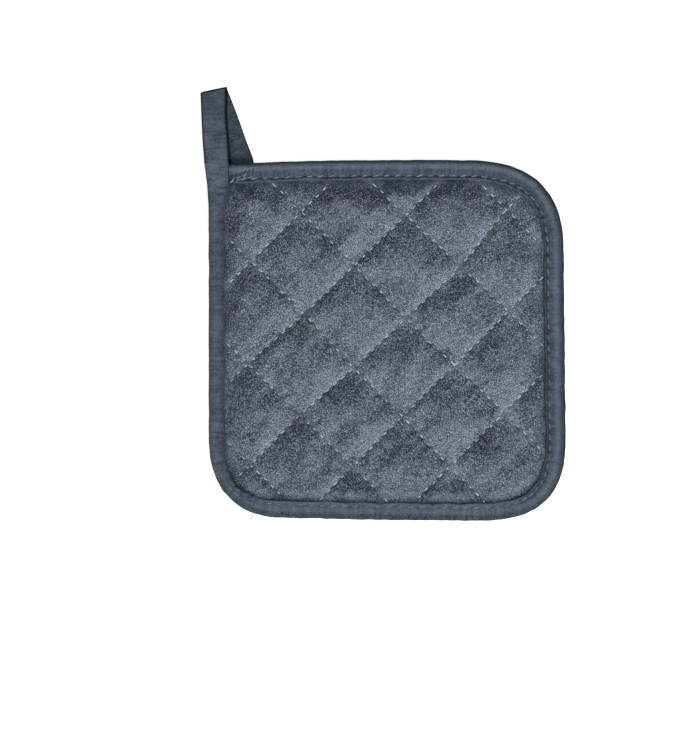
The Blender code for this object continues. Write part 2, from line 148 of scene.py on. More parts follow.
def put_mesh(name, points, face_lists, node_names=(), slot=None, uv=None, **attributes):
    """A smooth mesh object from points in millimetres and arrays of faces. It turns all faces outward by the
    sign of the volume they enclose, the sum of a . (b x c) / 6 over triangles fanned from each face."""
    volume = 0.0
    for faces in face_lists:
        for k in range(1, faces.shape[1] - 1):
            a, b, c = points[faces[:, 0]], points[faces[:, k]], points[faces[:, k + 1]]
            volume += np.einsum("ij,ij->", a, np.cross(b, c)) / 6.0
    if volume < 0.0:
        face_lists = [faces[:, ::-1] for faces in face_lists]
    corners = np.concatenate([faces.ravel() for faces in face_lists]).astype(np.int32)
    sizes = np.concatenate([np.full(len(faces), faces.shape[1]) for faces in face_lists]).astype(np.int32)
    mesh = bpy.data.meshes.new(name)
    mesh.vertices.add(len(points))
    mesh.vertices.foreach_set("co", (points * MM).astype(np.float32).ravel())
    mesh.loops.add(len(corners))
    mesh.loops.foreach_set("vertex_index", corners)
    mesh.polygons.add(len(sizes))
    mesh.polygons.foreach_set("loop_start", np.append(0, np.cumsum(sizes)[:-1]).astype(np.int32))
    mesh.polygons.foreach_set("loop_total", sizes)
    if uv is not None:
        mesh.uv_layers.new(name="UVMap").uv.foreach_set("vector", uv[corners].astype(np.float32).ravel())
    for key, values in attributes.items():
        mesh.attributes.new(key, "FLOAT", "POINT").data.foreach_set("value", values.astype(np.float32))
    mesh.update(calc_edges=True)
    mesh.validate()
    mesh.shade_smooth()
    piece = bpy.data.objects.new(name, mesh)
    bpy.context.scene.collection.objects.link(piece)
    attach(piece, "root")
    if node_names:
        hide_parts(*node_names)
    print(f"{name}: {int((sizes - 2).sum())} triangles round {abs(volume) / 1000:.2f} cm3")
    return piece


# %% [markdown]
# ## The plan of the pad
# A pot holder like this is cut round a template with three round corners and a square one, where the loop
# leaves. The corners are squarer than circles, so quarters of superellipses draw them. The numbers repeat those
# of the solids, so the visible cloth lies where the solids are.

# %% Sizes of the pad
PAD_WIDTH, PAD_HEIGHT = 178.0, 179.6
LOOP_RISE, LOOP_OVERHANG = 36.0, 4.2
RIGHT = (PAD_WIDTH + LOOP_OVERHANG) / 2
LEFT = RIGHT - PAD_WIDTH
BOTTOM = -(PAD_HEIGHT + LOOP_RISE) / 2
TOP = BOTTOM + PAD_HEIGHT

Corner = namedtuple("Corner", "side_x side_y reach_x reach_y starts_at squareness")
ROUND_CORNERS = (
    Corner(RIGHT - 1.0, TOP - 0.1, 51.0, 47.0, 90.0, 2.60),
    Corner(RIGHT, BOTTOM, 43.0, 42.0, 0.0, 2.64),
    Corner(LEFT, BOTTOM + 1.8, 38.0, 41.5, -90.0, 2.45),
)
SQUARE_CORNER = np.array([LEFT - 2.2, TOP - 1.0])
LEAN_LENGTH = 25.8
EDGE_STEP = 0.5
print(f"a pad of {PAD_WIDTH:.0f} x {PAD_HEIGHT:.0f} mm")


# %% The bound edge
def corner_arc(corner):
    """A quarter superellipse, clockwise: x = cx + a |cos t|^(2/n), y = cy + b |sin t|^(2/n), with signs."""
    t = np.radians(np.linspace(corner.starts_at, corner.starts_at - 90.0, 90))
    circle = np.stack([np.cos(t), np.sin(t)], axis=1)
    side, reach = np.array([corner.side_x, corner.side_y]), np.array([corner.reach_x, corner.reach_y])
    centre = side - np.copysign(reach, side)
    return centre + reach * np.sign(circle) * np.abs(circle) ** (2.0 / corner.squareness)


def by_length(line, step):
    """The same line, in any number of columns, with points a step apart along it."""
    lengths = np.append(0.0, np.cumsum(np.linalg.norm(np.diff(line, axis=0), axis=1)))
    at = np.linspace(0.0, lengths[-1], int(round(lengths[-1] / step)) + 1)
    return np.stack([np.interp(at, lengths, column) for column in line.T], axis=1)


def eased(line, half):
    """Each point becomes the mean of itself and its neighbours up to half away. The two ends stay."""
    before, after = 2 * line[0] - line[half:0:-1], 2 * line[-1] - line[-2:-half - 2:-1]
    longer = np.concatenate([before, line, after])
    kernel = np.ones(2 * half + 1) / (2 * half + 1)
    return np.stack([np.convolve(column, kernel, mode="valid") for column in longer.T], axis=1)


def edge_outline():
    """The edge, clockwise from the square corner: arcs and straight sides at even steps, averaged. The left
    side leans out near the loop as share^1.7, the top and bottom are bowed by one arch of a sine, and the top
    dips by the loop."""
    share = np.linspace(0.0, 1.0, 20)
    lean_x = LEFT + share**1.7 * (SQUARE_CORNER[0] - LEFT)
    lean_y = TOP - LEAN_LENGTH + share * (SQUARE_CORNER[1] - TOP + LEAN_LENGTH)
    arcs = [corner_arc(corner) for corner in ROUND_CORNERS]
    line = np.concatenate([SQUARE_CORNER[None, :], *arcs, np.stack([lean_x, lean_y], axis=1)])
    line = eased(by_length(line, EDGE_STEP), 9)
    along_top = np.clip((line[:, 0] - LEFT) / (PAD_WIDTH - 31.0), 0.0, 1.0)
    line[:, 1] += np.sin(math.pi * along_top) * np.where(line[:, 1] > (TOP + BOTTOM) / 2, 0.45, -0.65)
    dip = smoothstep((line[:, 0] - LEFT - 2.0) / 8.0) * (1.0 - smoothstep(along_top / 0.45))
    line[:, 1] -= 1.2 * dip * (line[:, 1] > TOP - 10.0)
    return line


EDGE = edge_outline()
EDGE_TANGENTS = unit(np.gradient(EDGE, axis=0))
INWARD = np.stack([EDGE_TANGENTS[:, 1], -EDGE_TANGENTS[:, 0]], axis=1)
EDGE_LENGTHS = np.arange(len(EDGE)) * EDGE_STEP
ON_LEFT_SIDE = (EDGE[:, 0] < 0.0) & (np.arange(len(EDGE)) > len(EDGE) // 2)
print(f"the bound edge is {EDGE_LENGTHS[-1]:.0f} mm long")

# %% [markdown]
# The tape is sewn on by hand and eye, so it shows wider on some sides than on others. Near the loop the left
# strip widens and laps the start of the top one. A table by the direction in which the edge faces holds this.

# %% Widths of the tape
TAPE_WIDTHS = np.array([  # faces in degrees, front width, back width
    (-180, 7.9, 9.4), (-135, 7.8, 9.6), (-90, 8.6, 10.0), (-45, 9.3, 10.4),
    (0, 10.0, 10.4), (45, 10.2, 10.6), (90, 9.8, 10.0), (180, 7.9, 9.4),
])
LAP_X = LEFT + 10.4
STITCH_INSET, TOPSTITCH_PITCH = 1.8, 5.5  # the seam that holds the tape

faces_way = np.degrees(np.arctan2(-INWARD[:, 1], -INWARD[:, 0]))
SIDE_SHARES = np.clip(np.concatenate([INWARD, -INWARD], axis=1), 0.0, 1.0) ** 2
LEFT_SHARE, BOTTOM_SHARE, _, TOP_SHARE = SIDE_SHARES.T
lap_share = smoothstep((EDGE[:, 1] - (TOP - 30.0)) / 17.0) * ON_LEFT_SIDE
FRONT_WIDTHS, BACK_WIDTHS = (
    (1.0 - lap_share) * np.interp(faces_way, TAPE_WIDTHS[:, 0], TAPE_WIDTHS[:, k])
    + lap_share * (LAP_X - EDGE[:, 0]) for k in (1, 2)
)
print(f"the tape shows {FRONT_WIDTHS.min():.1f} to {FRONT_WIDTHS.max():.1f} mm wide in front")


# %% Where a point lies by the edge
def on_edge(values, at):
    """Values that are kept for each outline point, read at lengths along the edge."""
    if values.ndim == 1:
        return np.interp(at, EDGE_LENGTHS, values)
    return np.stack([np.interp(at, EDGE_LENGTHS, column) for column in values.T], axis=1)


def edge_place(points):
    """How far points lie inside the edge and how far along it: from the nearest point of the outline, the step
    to them is split square to the edge and along it. The points are taken some thousands at a time."""
    inside, along = np.empty(len(points)), np.empty(len(points))
    for part in np.array_split(np.arange(len(points)), 1 + len(points) // 4000):
        apart = points[part, None, :] - EDGE[None, ::2, :]
        nearest = 2 * np.einsum("ijk,ijk->ij", apart, apart).argmin(axis=1)
        step = points[part] - EDGE[nearest]
        inside[part] = np.einsum("ij,ij->i", step, INWARD[nearest])
        along[part] = EDGE_LENGTHS[nearest] + np.einsum("ij,ij->i", step, EDGE_TANGENTS[nearest])
    return inside, along


def past_tape(points, widths):
    """How far points lie past the tape's inner edge and how far along the bound edge."""
    inside, along = edge_place(points)
    return inside - on_edge(widths, along), along


# %% [markdown]
# ## Quilting
# The rows of quilting run at 45 degrees and were pushed about a little under the needle, so each crossing has
# its own place. A line is given by its offset at its crossings, and its bends are eased: cloth doesn't kink.

# %% Quilting lines
CROSSINGS = {
    "A": ((-40.7, 45.9), (11.2, 44.0), (61.3, 47.3)),
    "B": ((-65.8, 21.2), (-14.2, 19.5), (38.9, 18.6)),
    "C": ((-39.2, -5.0), (11.2, -7.1), (62.5, -3.6)),
    "D": ((-67.5, -29.7), (-14.5, -31.8), (35.6, -30.4)),
    "E": ((-41.4, -55.1), (9.5, -55.8), (60.3, -54.0)),
    "F": ((-66.1, -79.8), (-15.2, -80.9), (33.1, -80.9)),
}
RISING_LINES = ("B1 A1", "D1 C1 B2 A2", "F1 E1 D2 C2 B3 A3", "F2 E2 D3 C3", "F3 E3")
FALLING_LINES = ("F1", "D1 E1 F2", "B1 C1 D2 E2 F3", "A1 B2 C2 D3 E3", "A2 B3 C3", "A3")
ROOT_2 = math.sqrt(2.0)
STITCH_PITCH = 5.0


def turned(points, rising):
    """Run and offset of points: x + y and y - x for lines that rise to the right, else the other way round."""
    sums, differences = points[:, 0] + points[:, 1], points[:, 1] - points[:, 0]
    return (sums, differences) if rising else (differences, sums)


def quilting_line(names, rising):
    """A line as its runs and offsets at its crossings, in order."""
    spots = np.array([CROSSINGS[name[0]][int(name[1]) - 1] for name in names.split()])
    runs, offsets = turned(spots, rising)
    order = np.argsort(runs)
    return runs[order], offsets[order]


LINES = {
    True: [quilting_line(names, True) for names in RISING_LINES],
    False: [quilting_line(names, False) for names in FALLING_LINES],
}
print(len(LINES[True]), "lines rise to the right and", len(LINES[False]), "fall")


# %% How far a point is from the quilting
def offset_at(line, run):
    """The line's offset at a run, straight between crossings, averaged over three places 12 mm apart."""
    return sum(np.interp(run + shift, *line) for shift in (-12.0, 0.0, 12.0)) / 3.0


def line_place(points, rising):
    """For the nearest line of one direction: the distance to it, with a sign, and the run along it. Between two
    needle holes the cloth bulges over the line, 0.25 mm as a cosine of the run."""
    runs, offsets = turned(points, rising)
    bulge = 0.25 * ROOT_2 * np.cos(2.0 * np.pi * runs / ROOT_2 / STITCH_PITCH)
    steps = np.stack([offsets + bulge - offset_at(line, runs) for line in LINES[rising]])
    nearest = np.abs(steps).argmin(axis=0)
    return np.take_along_axis(steps, nearest[None, :], axis=0)[0] / ROOT_2, runs / ROOT_2


def from_quilting(points):
    """The distance to the nearest line of either direction."""
    return np.min([np.abs(line_place(points, rising)[0]) for rising in LINES], axis=0)


# %% [markdown]
# ## Heights
# From the side, a pot holder is a stack: silver cloth, wadding, terry, and tape folded over all three. Heights
# are counted from its middle. The wadding swells in each diamond and is squeezed flat on the lines, so a puff
# is 1 minus a power of what is left of the way from the line to the diamond's middle.

# %% The stack
GAP = 0.3
CLOTH = 1.0
CAVITY = GAP / 2 + CLOTH + GAP
EDGE_MIDDLE, PAD_MIDDLE = CAVITY + 1.0, 3.2
FRONT_CROWN, BACK_CROWN = 2.4, 2.8
HALF_PITCH = 18.0
LIFT = 1.5 + GAP


def puff(points):
    """The product over both directions of 1 - (1 - d / half pitch)^2.6, a little uneven."""
    height = 1.0 + 0.07 * np.sin(points[:, 0] / 19.0 + 1.3) * np.sin(points[:, 1] / 23.0 - 0.6)
    for rising in LINES:
        d = np.clip(np.abs(line_place(points, rising)[0]) / HALF_PITCH, 0.0, 1.0)
        height = height * (1.0 - (1.0 - d) ** 2.6)
    return height


def lift(points):
    """How far the loop's end under the top-left corner lifts the pad: in full at the corner, then less."""
    dx = np.maximum(points[:, 0] - (LEFT + 24.9), 0.0)
    dy = np.maximum(TOP - 13.8 - points[:, 1], 0.0)
    return LIFT * (1.0 - smoothstep(np.hypot(dx, dy) / 36.0))


def middle_height(points, past_back):
    """The stack's middle: low along the bound edge, higher past the back's tape, lifted at the corner."""
    return EDGE_MIDDLE + (PAD_MIDDLE - EDGE_MIDDLE) * smoothstep(past_back / 20.0) + lift(points)


print(f"edge {2 * EDGE_MIDDLE:.1f} mm, puffs up to {PAD_MIDDLE + GAP / 2 + CLOTH + FRONT_CROWN:.1f} mm high")

# %% [markdown]
# Terry sinks sharply where the thread pulls it down, and its pile is pressed into soft dents. Each needle hole
# pulls a little deeper than the thread between two holes.

# %% Terry surface
PAINTED_LIGHT_FROM = np.array([0.27, -0.963])  # the way towards the painted light, at the lower right


def needle_pull(distance, run, reach):
    """A dent in a line of stitches: it fades with distance as exp(-d / reach) and is deepest at the holes,
    where the cosine of the run is 1."""
    return np.exp(-np.abs(distance) / reach) * (0.75 + 0.25 * np.cos(2.0 * np.pi * run / STITCH_PITCH))


def terry_puffs(points):
    """The height of the puffs, which grow over 11 mm from the tape's inner edge, at the bottom over 6 mm."""
    past, along = past_tape(points, FRONT_WIDTHS)
    return FRONT_CROWN * smoothstep(past / (11.0 - 5.0 * on_edge(BOTTOM_SHARE, along))) * puff(points)


def pile_patches(points):
    """0 where the pile is dark, 1 where it is light: painted shade and light from the fall of the puffs towards
    the lower right over 0.5 mm, so slopes that face the lamp are lighter, ripples that are longer along the
    rising lines, where hands have crushed it, and a painted pool of light, brighter in the middle and to the
    right."""
    runs, offsets = turned(points, True)
    long_way = np.stack([runs * 0.42, offsets * 0.85], axis=1)
    field = ripples(long_way, 17.0, 51, 40) + 0.55 * ripples(long_way, 6.5, 52, 40)
    field += 0.4 * ripples(points, 3.0, 53, 40)
    # Painted shade and light: where the puffs fall towards the lamp at the lower right, the pile is lighter.
    fall = (terry_puffs(points) - terry_puffs(points + 0.5 * PAINTED_LIGHT_FROM)) / 0.5
    from_middle = np.hypot(points[:, 0], points[:, 1] + 18.0)
    # A painted pool of light, brighter in the middle and to the right.
    painted_light_pool = 0.07 * np.exp(-((from_middle / 50.0) ** 2)) + 0.0006 * points[:, 0] - 0.03
    return np.clip(0.5 + painted_light_pool + 0.165 * field + 1.7 * fall, 0.0, 1.0)


def terry_height(points):
    """Middle of the stack + cloth + puffs - sharp creases on the lines + soft dents of the pile."""
    inside, along = edge_place(points)
    base = middle_height(points, inside - on_edge(BACK_WIDTHS, along)) + GAP / 2 + CLOTH
    open_cloth = smoothstep((inside - on_edge(FRONT_WIDTHS, along)) / 3.0)
    dents = 0.16 * ripples(points, 9.0, 11) + 0.07 * ripples(points, 3.2, 12)
    creases = sum(needle_pull(*line_place(points, rising), 1.0) for rising in LINES)
    return base + terry_puffs(points) + open_cloth * (dents - 0.75 * creases)


# %% [markdown]
# ## A sheet over the pad
# A sheet with four sides can be stretched over any closed edge: each inner point is blended from the four
# sides. This is a Coons patch. It gives even cells in the middle, and the tape hides its squeezed corners.

# %% Stretching a sheet over the pad
CUT_INSET = 3.3


def cut_edge_sides(count):
    """The cloths' cut edge as four sides of count + 1 points: top, right, bottom and left. It is the bound edge
    moved in by 3.3 mm, with its square corner kept, split at the middles of the round corners."""
    ring = EDGE + INWARD * CUT_INSET
    corner = np.array([SQUARE_CORNER[0] + CUT_INSET, TOP - CUT_INSET])
    ring = ring[~((ring[:, 0] < corner[0] + 1.0) & (ring[:, 1] > corner[1] - 1.0))]
    ring = by_length(np.concatenate([corner[None, :], ring, corner[None, :]]), 0.25)
    ways = np.radians([45.0, -45.0, -135.0])
    farthest = (ring @ np.stack([np.cos(ways), np.sin(ways)])).argmax(axis=0)
    splits = [0, *farthest, len(ring) - 1]
    sides = []
    for start, end in zip(splits, splits[1:]):
        at = np.linspace(start, end, count + 1)
        sides.append(np.stack([np.interp(at, np.arange(len(ring)), column) for column in ring.T], axis=1))
    return sides


def stretched_plan(count):
    """Points of the Coons patch, row by row: the mean of both pairs of sides, less that of the corners."""
    top, right, bottom, left = cut_edge_sides(count)
    u = np.linspace(0.0, 1.0, count + 1)[None, :, None]
    v = np.linspace(0.0, 1.0, count + 1)[:, None, None]
    across = (1 - v) * top[None, :] + v * bottom[None, ::-1]
    down = (1 - u) * left[::-1][:, None] + u * right[:, None]
    corners = (1 - u) * (1 - v) * top[0] + u * (1 - v) * top[-1] + u * v * right[-1] + (1 - u) * v * bottom[-1]
    return (across + down - corners).reshape(-1, 2)


def rim_of(count, first=0):
    """Indices round the rim of a grid with count cells a side, back to the first."""
    index = first + np.arange((count + 1) ** 2).reshape(count + 1, count + 1)
    return np.concatenate([index[0, :-1], index[:-1, -1], index[-1, :0:-1], index[:0:-1, 0], index[0, :1]])


def sheet_body(fine, coarse, face_height, inner_height):
    """A closed cloth: a fine grid for its face, a coarse one for its inner side, and a rim of faces that each
    join one coarse edge to the fine ones along it."""
    face_plan, inner_plan = stretched_plan(fine), stretched_plan(coarse)
    points = np.concatenate([
        np.column_stack([face_plan, face_height(face_plan)]),
        np.column_stack([inner_plan, inner_height(inner_plan)]),
    ])
    step = fine // coarse
    outer, inner = rim_of(fine), rim_of(coarse, len(face_plan))
    starts = np.arange(len(inner) - 1) * step
    rim = np.stack([outer[starts + k] for k in range(step, -1, -1)] + [inner[:-1], inner[1:]], axis=1)
    upper = grid_faces(fine + 1, fine + 1)
    lower = grid_faces(coarse + 1, coarse + 1, len(face_plan))[:, ::-1]
    return points, [upper, lower, rim]


def inner_side(shift):
    """The height of a cloth's inner side: the stack's middle, shifted."""
    return lambda points: middle_height(points, past_tape(points, BACK_WIDTHS)[0]) + shift


# %% Terry front cloth
TERRY_CELLS, SILVER_CELLS, INNER_CELLS, WADDING_CELLS = 176, 220, 44, 60

terry_points, terry_faces = sheet_body(TERRY_CELLS, INNER_CELLS, terry_height, inner_side(0.6))
terry_cloth = put_mesh("terry_cloth", terry_points, terry_faces, ["terry_face"], "terry",
                       patch=pile_patches(terry_points[:, :2]))

# %% [markdown]
# ## Silver back cloth
# The back is thin cotton with a silver coating that keeps heat off the hand. It is stiffer than terry, so it
# puckers: pleats run off the lines of quilting, and little scallops follow the tape. Where the pad lies on its
# back the puffs are pressed flat, and a soft maximum with the surface gives that without a hard edge.

# %% Silver surface
def pressed_flat(heights, softness=0.22):
    """The soft maximum of 0 and a height: k ln(1 + e^(h / k))."""
    return softness * np.logaddexp(0.0, heights / softness)


def silver_height(points):
    """Middle of the stack - cloth - puffs + sharp creases and pleats, pressed flat on the surface."""
    past, along = past_tape(points, BACK_WIDTHS)
    free = middle_height(points, past) - GAP / 2 - CLOTH - BACK_CROWN * smoothstep(past / 9.0) * puff(points)
    for rising in LINES:
        distance, run = line_place(points, rising)
        wander = 1.4 * ripples(points, 16.0, 21 + rising)
        pleats = np.cos(2.0 * np.pi * (run + wander) / 4.6) * np.exp(-np.abs(distance) / 3.4)
        ridge = np.exp(-((np.abs(distance) - 1.6) / 0.55) ** 2)
        relief = 0.85 * needle_pull(distance, run, 0.9) - 0.16 * pleats - 0.14 * ridge
        free = free + smoothstep(past / 2.0) * relief
    gathers = np.cos(2.0 * np.pi * along / TOPSTITCH_PITCH + ripples(points, 20.0, 23))
    scallops = gathers * np.exp(-np.abs(past) / 2.6)
    wrinkles = 0.10 * ripples(points, 7.0, 24)
    return pressed_flat(free - 0.22 * scallops - wrinkles * smoothstep(past / 3.0))


def channel_share(points):
    """Painted shade in the quilted valleys and by the tape: 1 on a line of quilting, falling off as
    exp(-d / 2.4), and 1 along the tape, as exp(-d / 1.5).
    """
    past = np.abs(past_tape(points, BACK_WIDTHS)[0])
    return np.maximum(np.exp(-from_quilting(points) / 2.4), np.exp(-past / 1.5))


silver_points, silver_faces = sheet_body(SILVER_CELLS, INNER_CELLS, silver_height, inner_side(-0.6))
silver_cloth = put_mesh("silver_cloth", silver_points, silver_faces, ["silver_back"], "silver_cloth",
                        channel=channel_share(silver_points[:, :2]))

# %% [markdown]
# ## Wadding
# Nobody sees the wadding, but it carries both cloths: a plain closed pad in the space that they leave.

# %% Wadding between the cloths
wadding = put_mesh("wadding", *sheet_body(WADDING_CELLS, WADDING_CELLS, inner_side(0.5), inner_side(-0.5)))

# %% [markdown]
# ## Binding tape and loop
# One long tape is folded lengthwise over the edge, its raw sides turned under, and sewn through all layers.
# Past the square corner there is no pad left inside it: the two sides of the fold close on each other, and the
# closed tape becomes the loop. It could be two pieces, but one skin along one path leaves no seam that the real
# tape hasn't got. Each station of the path has an outer point, a direction across the tape, one out of its
# front, and its widths and thicknesses.

# %% The loop's path
ROOT_UP, TAPE_THICK = -1.2, 1.5
FOLD_HEIGHT, FOLD_RADIUS, LYING = TAPE_THICK + GAP / 2, 0.9, TAPE_THICK / 2
LOOP_ROWS = (  # both edges, each from the pad's left side and above its top, and the height of the middle
    (-2.2, ROOT_UP, 10.5, ROOT_UP, EDGE_MIDDLE + LIFT),
    (-2.3, 1.8, 10.5, 1.8, 5.5),
    (-2.5, 4.8, 10.3, 5.1, 6.8),
    (-2.8, 9.8, 9.9, 10.5, 7.6),
    (-3.1, 15.8, 9.4, 16.8, 7.7),
    (-3.4, 21.6, 9.0, 23.4, 6.9),
    (-3.7, 27.2, 9.0, 29.4, 5.0),
    (-4.0, 31.0, 9.0, 33.5, 3.1),
    (-4.1, 32.2, 9.0, 34.9, FOLD_HEIGHT + FOLD_RADIUS),
    (-LOOP_OVERHANG, 33.2, 9.2, 36.1, FOLD_HEIGHT),
    (-4.0, 32.2, 9.5, 34.8, FOLD_HEIGHT - FOLD_RADIUS),
    (-3.3, 30.4, 10.2, 33.0, LYING),
    (-0.5, 23.2, 12.7, 26.7, LYING),
    (2.9, 14.7, 15.7, 18.6, LYING),
    (6.2, 6.4, 18.7, 10.0, LYING),
    (9.6, -1.6, 22.0, 0.8, LYING),
    (10.2, -6.2, 22.4, -5.4, LYING),
    (10.3, -11.0, 22.5, -11.0, LYING),
)
LOOP_THICK = (2 * EDGE_MIDDLE, 3.2, 1.9) + (len(LOOP_ROWS) - 3) * (TAPE_THICK,)
STEPS_A_ROW = 8


def through_rows(table, steps):
    """A smooth curve through the rows of a table: Catmull-Rom, a cubic between each two rows whose slopes there
    are half the way from the row before to the row after."""
    slopes = (np.concatenate([table[1:], table[-1:]]) - np.concatenate([table[:1], table[:-1]])) / 2
    u = np.linspace(0.0, 1.0, steps, endpoint=False)[None, :, None]
    a, b, m, n = (block[:, None, :] for block in (table[:-1], table[1:], slopes[:-1], slopes[1:]))
    curve = a + u * m + u**2 * (3 * (b - a) - 2 * m - n) + u**3 * (2 * (a - b) + m + n)
    return np.concatenate([curve.reshape(-1, table.shape[1]), table[-1:]])


loop_rows = through_rows(np.column_stack([LOOP_ROWS, LOOP_THICK]), STEPS_A_ROW)
loop_at = np.arange(len(loop_rows)) / STEPS_A_ROW  # counted in rows of the table: the fold is at 9
loop_left, loop_right = (
    np.column_stack([LEFT + loop_rows[:, k], TOP + loop_rows[:, k + 1], np.maximum(loop_rows[:, 4], LYING)])
    for k in (0, 2)
)
loop_middle = (loop_left + loop_right) / 2
loop_along = np.gradient(loop_middle, axis=0)
loop_along[0] = (0.0, 1.0, 0.0)
loop_widths = np.linalg.norm(loop_right - loop_left, axis=1)
loop_across = unit(loop_right - loop_left)
loop_out = unit(np.cross(loop_across, loop_along))
closing = np.clip((loop_rows[:, 5] - TAPE_THICK) / (2 * EDGE_MIDDLE - TAPE_THICK), 0.0, 1.0)
loop_out = unit(loop_out + smoothstep(3.0 * closing)[:, None] * (np.array([0.0, 0.0, 1.0]) - loop_out))
leg_1 = 1.0 - smoothstep((loop_at - 7.5) / 1.5)
loop_lengths = np.append(0.0, np.cumsum(np.linalg.norm(np.diff(loop_middle, axis=0), axis=1)))
print(f"the loop takes {loop_lengths[-1]:.0f} mm of tape, {loop_widths.mean():.1f} mm wide when closed")

# %% [markdown]
# The tape starts under the lap of its own end, so there the start is thin and low and the end rises over it.

# %% Stations along the tape
STATION_STEP = 0.7
TURNED_UNDER, LOOP_LAYER = 1.0, 0.73  # one side of the fold, with its raw edge turned under
ALONG_TOP = slice(200)  # the outline's first points, which run to the right
tape_starts_at = float(np.interp(LAP_X - 5.0, EDGE[ALONG_TOP, 0], EDGE_LENGTHS[ALONG_TOP]))
tape_ends_at = float(EDGE_LENGTHS[ON_LEFT_SIDE & (EDGE[:, 1] < TOP + ROOT_UP - 0.4)].max())
bound = np.linspace(tape_starts_at, tape_ends_at, int((tape_ends_at - tape_starts_at) / STATION_STEP))
no_bound, no_loop = np.zeros(len(bound)), np.zeros(len(loop_rows))


def with_loop(bound_values, loop_values=no_loop):
    """One array for the whole tape: its stations round the pad and then those of the loop."""
    return np.concatenate([bound_values, loop_values])


bound_xy, bound_in = on_edge(EDGE, bound), unit(on_edge(INWARD, bound))
in_lap = on_edge(ON_LEFT_SIDE.astype(float), bound) * smoothstep((bound_xy[:, 1] - TOP + 15.0) / 6.0)
bound_in = bound_in + smoothstep(in_lap * 2.0)[:, None] * (np.array([1.0, 0.0]) - bound_in)
under_lap = 1.0 - smoothstep((bound - tape_starts_at - 4.5) / 3.0)
crumpled = 4.0 * on_edge(LEFT_SHARE * BOTTOM_SHARE, bound)


def wander(*waves):
    """An uneven line along the tape: ripples by their height, size and seed, none where its ends lap."""
    line, free = np.column_stack([bound, no_bound]), (1.0 - in_lap) * (1.0 - under_lap)
    return free * sum(height * ripples(line, size, seed) for height, size, seed in waves)


front_wander = wander((0.16, 13.0, 31), (0.07 + 0.16 * crumpled, 4.0, 32))
back_wander = wander((0.35, 11.0, 33), (0.12, 4.5, 34))
edge_wander = wander((0.06, 17.0, 35), (0.04, 5.0, 36))

outer_xy = bound_xy - edge_wander[:, None] * bound_in
outer_points = with_loop(np.column_stack([outer_xy, no_bound + EDGE_MIDDLE]), loop_left)
across_ways = with_loop(np.column_stack([bound_in, no_bound]), loop_across)
out_ways = with_loop(np.tile([0.0, 0.0, 1.0], (len(bound), 1)), loop_out)
front_widths = with_loop(on_edge(FRONT_WIDTHS, bound) + front_wander + edge_wander, loop_widths - 0.5 * leg_1)
back_widths = with_loop(on_edge(BACK_WIDTHS, bound) + back_wander + edge_wander, loop_widths + 0.6 * leg_1)
sewn = with_loop(1.0 - in_lap)
# 1 where the edge faces up and to the right: the crown is taller there, and it weighs the painted light and shade
# on the tape.
UPPER_RIGHT_SHARE = 0.5 + 0.5 * np.cos(np.radians(np.unwrap(faces_way, period=360.0) - 50.0))
FRONT_CROWNS = 0.25 + 0.5 * UPPER_RIGHT_SHARE
front_crowns = with_loop((1.0 - in_lap) * on_edge(FRONT_CROWNS, bound) + 0.35 * in_lap, 0.10 + 0.25 * closing)
loop_layers = LOOP_LAYER + (TURNED_UNDER - LOOP_LAYER) * closing
layers = with_loop(TURNED_UNDER - 0.45 * under_lap, loop_layers)
loop_cavities = np.maximum(loop_rows[:, 5] / 2, LYING) - loop_layers + 0.6 * closing
cavities = with_loop(CAVITY + 0.6 * in_lap, loop_cavities)
tape_run = with_loop(bound, bound[-1] + GAP + loop_lengths)
print(f"{len(tape_run)} stations on {tape_run[-1] - tape_run[0]:.0f} mm of tape")

# %% [markdown]
# Across the tape, the skin goes from the folded inner edge in front, over the outer fold, to the inner edge at
# the back, and then inside along the cavity. The topstitch pulls a groove 1.8 mm from the inner edge.

# %% The tape's section
NEAR_EDGE = np.array([0.0, 0.04, 0.16, 0.36, 0.65, 1.0, 1.3, 1.55, 1.8, 2.05, 2.3, 2.7, 3.3])
OUTER_REACH = 2.3
LIMB_STEPS, FOLD_STEPS = 8, 7
puckers = 0.5 + 0.5 * np.cos(2.0 * np.pi * tape_run / TOPSTITCH_PITCH)


def limb(width, crown):
    """One side of the folded tape: positions across it, from the inner edge to the start of the outer fold, and
    heights over the tape's middle: the turned edge rises as a quarter circle, the stitch pulls a Gaussian
    groove, deeper at each needle hole, and the rest has a crown, highest near the fold, sin(pi share^0.58)."""
    shares = np.linspace(0.0, 1.0, LIMB_STEPS + 1)[1:]
    near = width[:, None] - NEAR_EDGE
    across = np.concatenate([near, near[:, -1:] + (OUTER_REACH - near[:, -1:]) * shares], axis=1)
    from_edge = width[:, None] - across
    turned_edge = np.sqrt(1.0 - np.clip(1.0 - from_edge / 0.42, 0.0, 1.0) ** 2)
    holes = puckers[:, None]
    groove = (0.20 + 0.20 * holes) * np.exp(-((from_edge - STITCH_INSET) / 0.55) ** 2)
    pucker = 0.16 * holes * np.exp(-((from_edge - STITCH_INSET) / 2.4) ** 2)
    arch = crown[:, None] * np.sin(np.pi * np.clip(across / width[:, None], 0.0, 1.0) ** 0.58)
    flat = cavities[:, None] + layers[:, None] * (0.30 + 0.70 * turned_edge)
    return across, flat - (groove + pucker) * sewn[:, None] + arch


def outer_fold(front, back):
    """The rounded fold from front to back: a superellipse quarter on each side of the middle, with
    across = reach (1 - |cos a|^0.8) and height = top |sin a|^0.8."""
    angles = np.linspace(0.5 * np.pi, -0.5 * np.pi, 2 * FOLD_STEPS + 1)[None, 1:-1]
    across = OUTER_REACH * (1.0 - np.abs(np.cos(angles)) ** 0.8)
    heights = np.where(angles > 0.0, front, back) * np.sign(np.sin(angles)) * np.abs(np.sin(angles)) ** 0.8
    return np.broadcast_to(across, heights.shape), heights


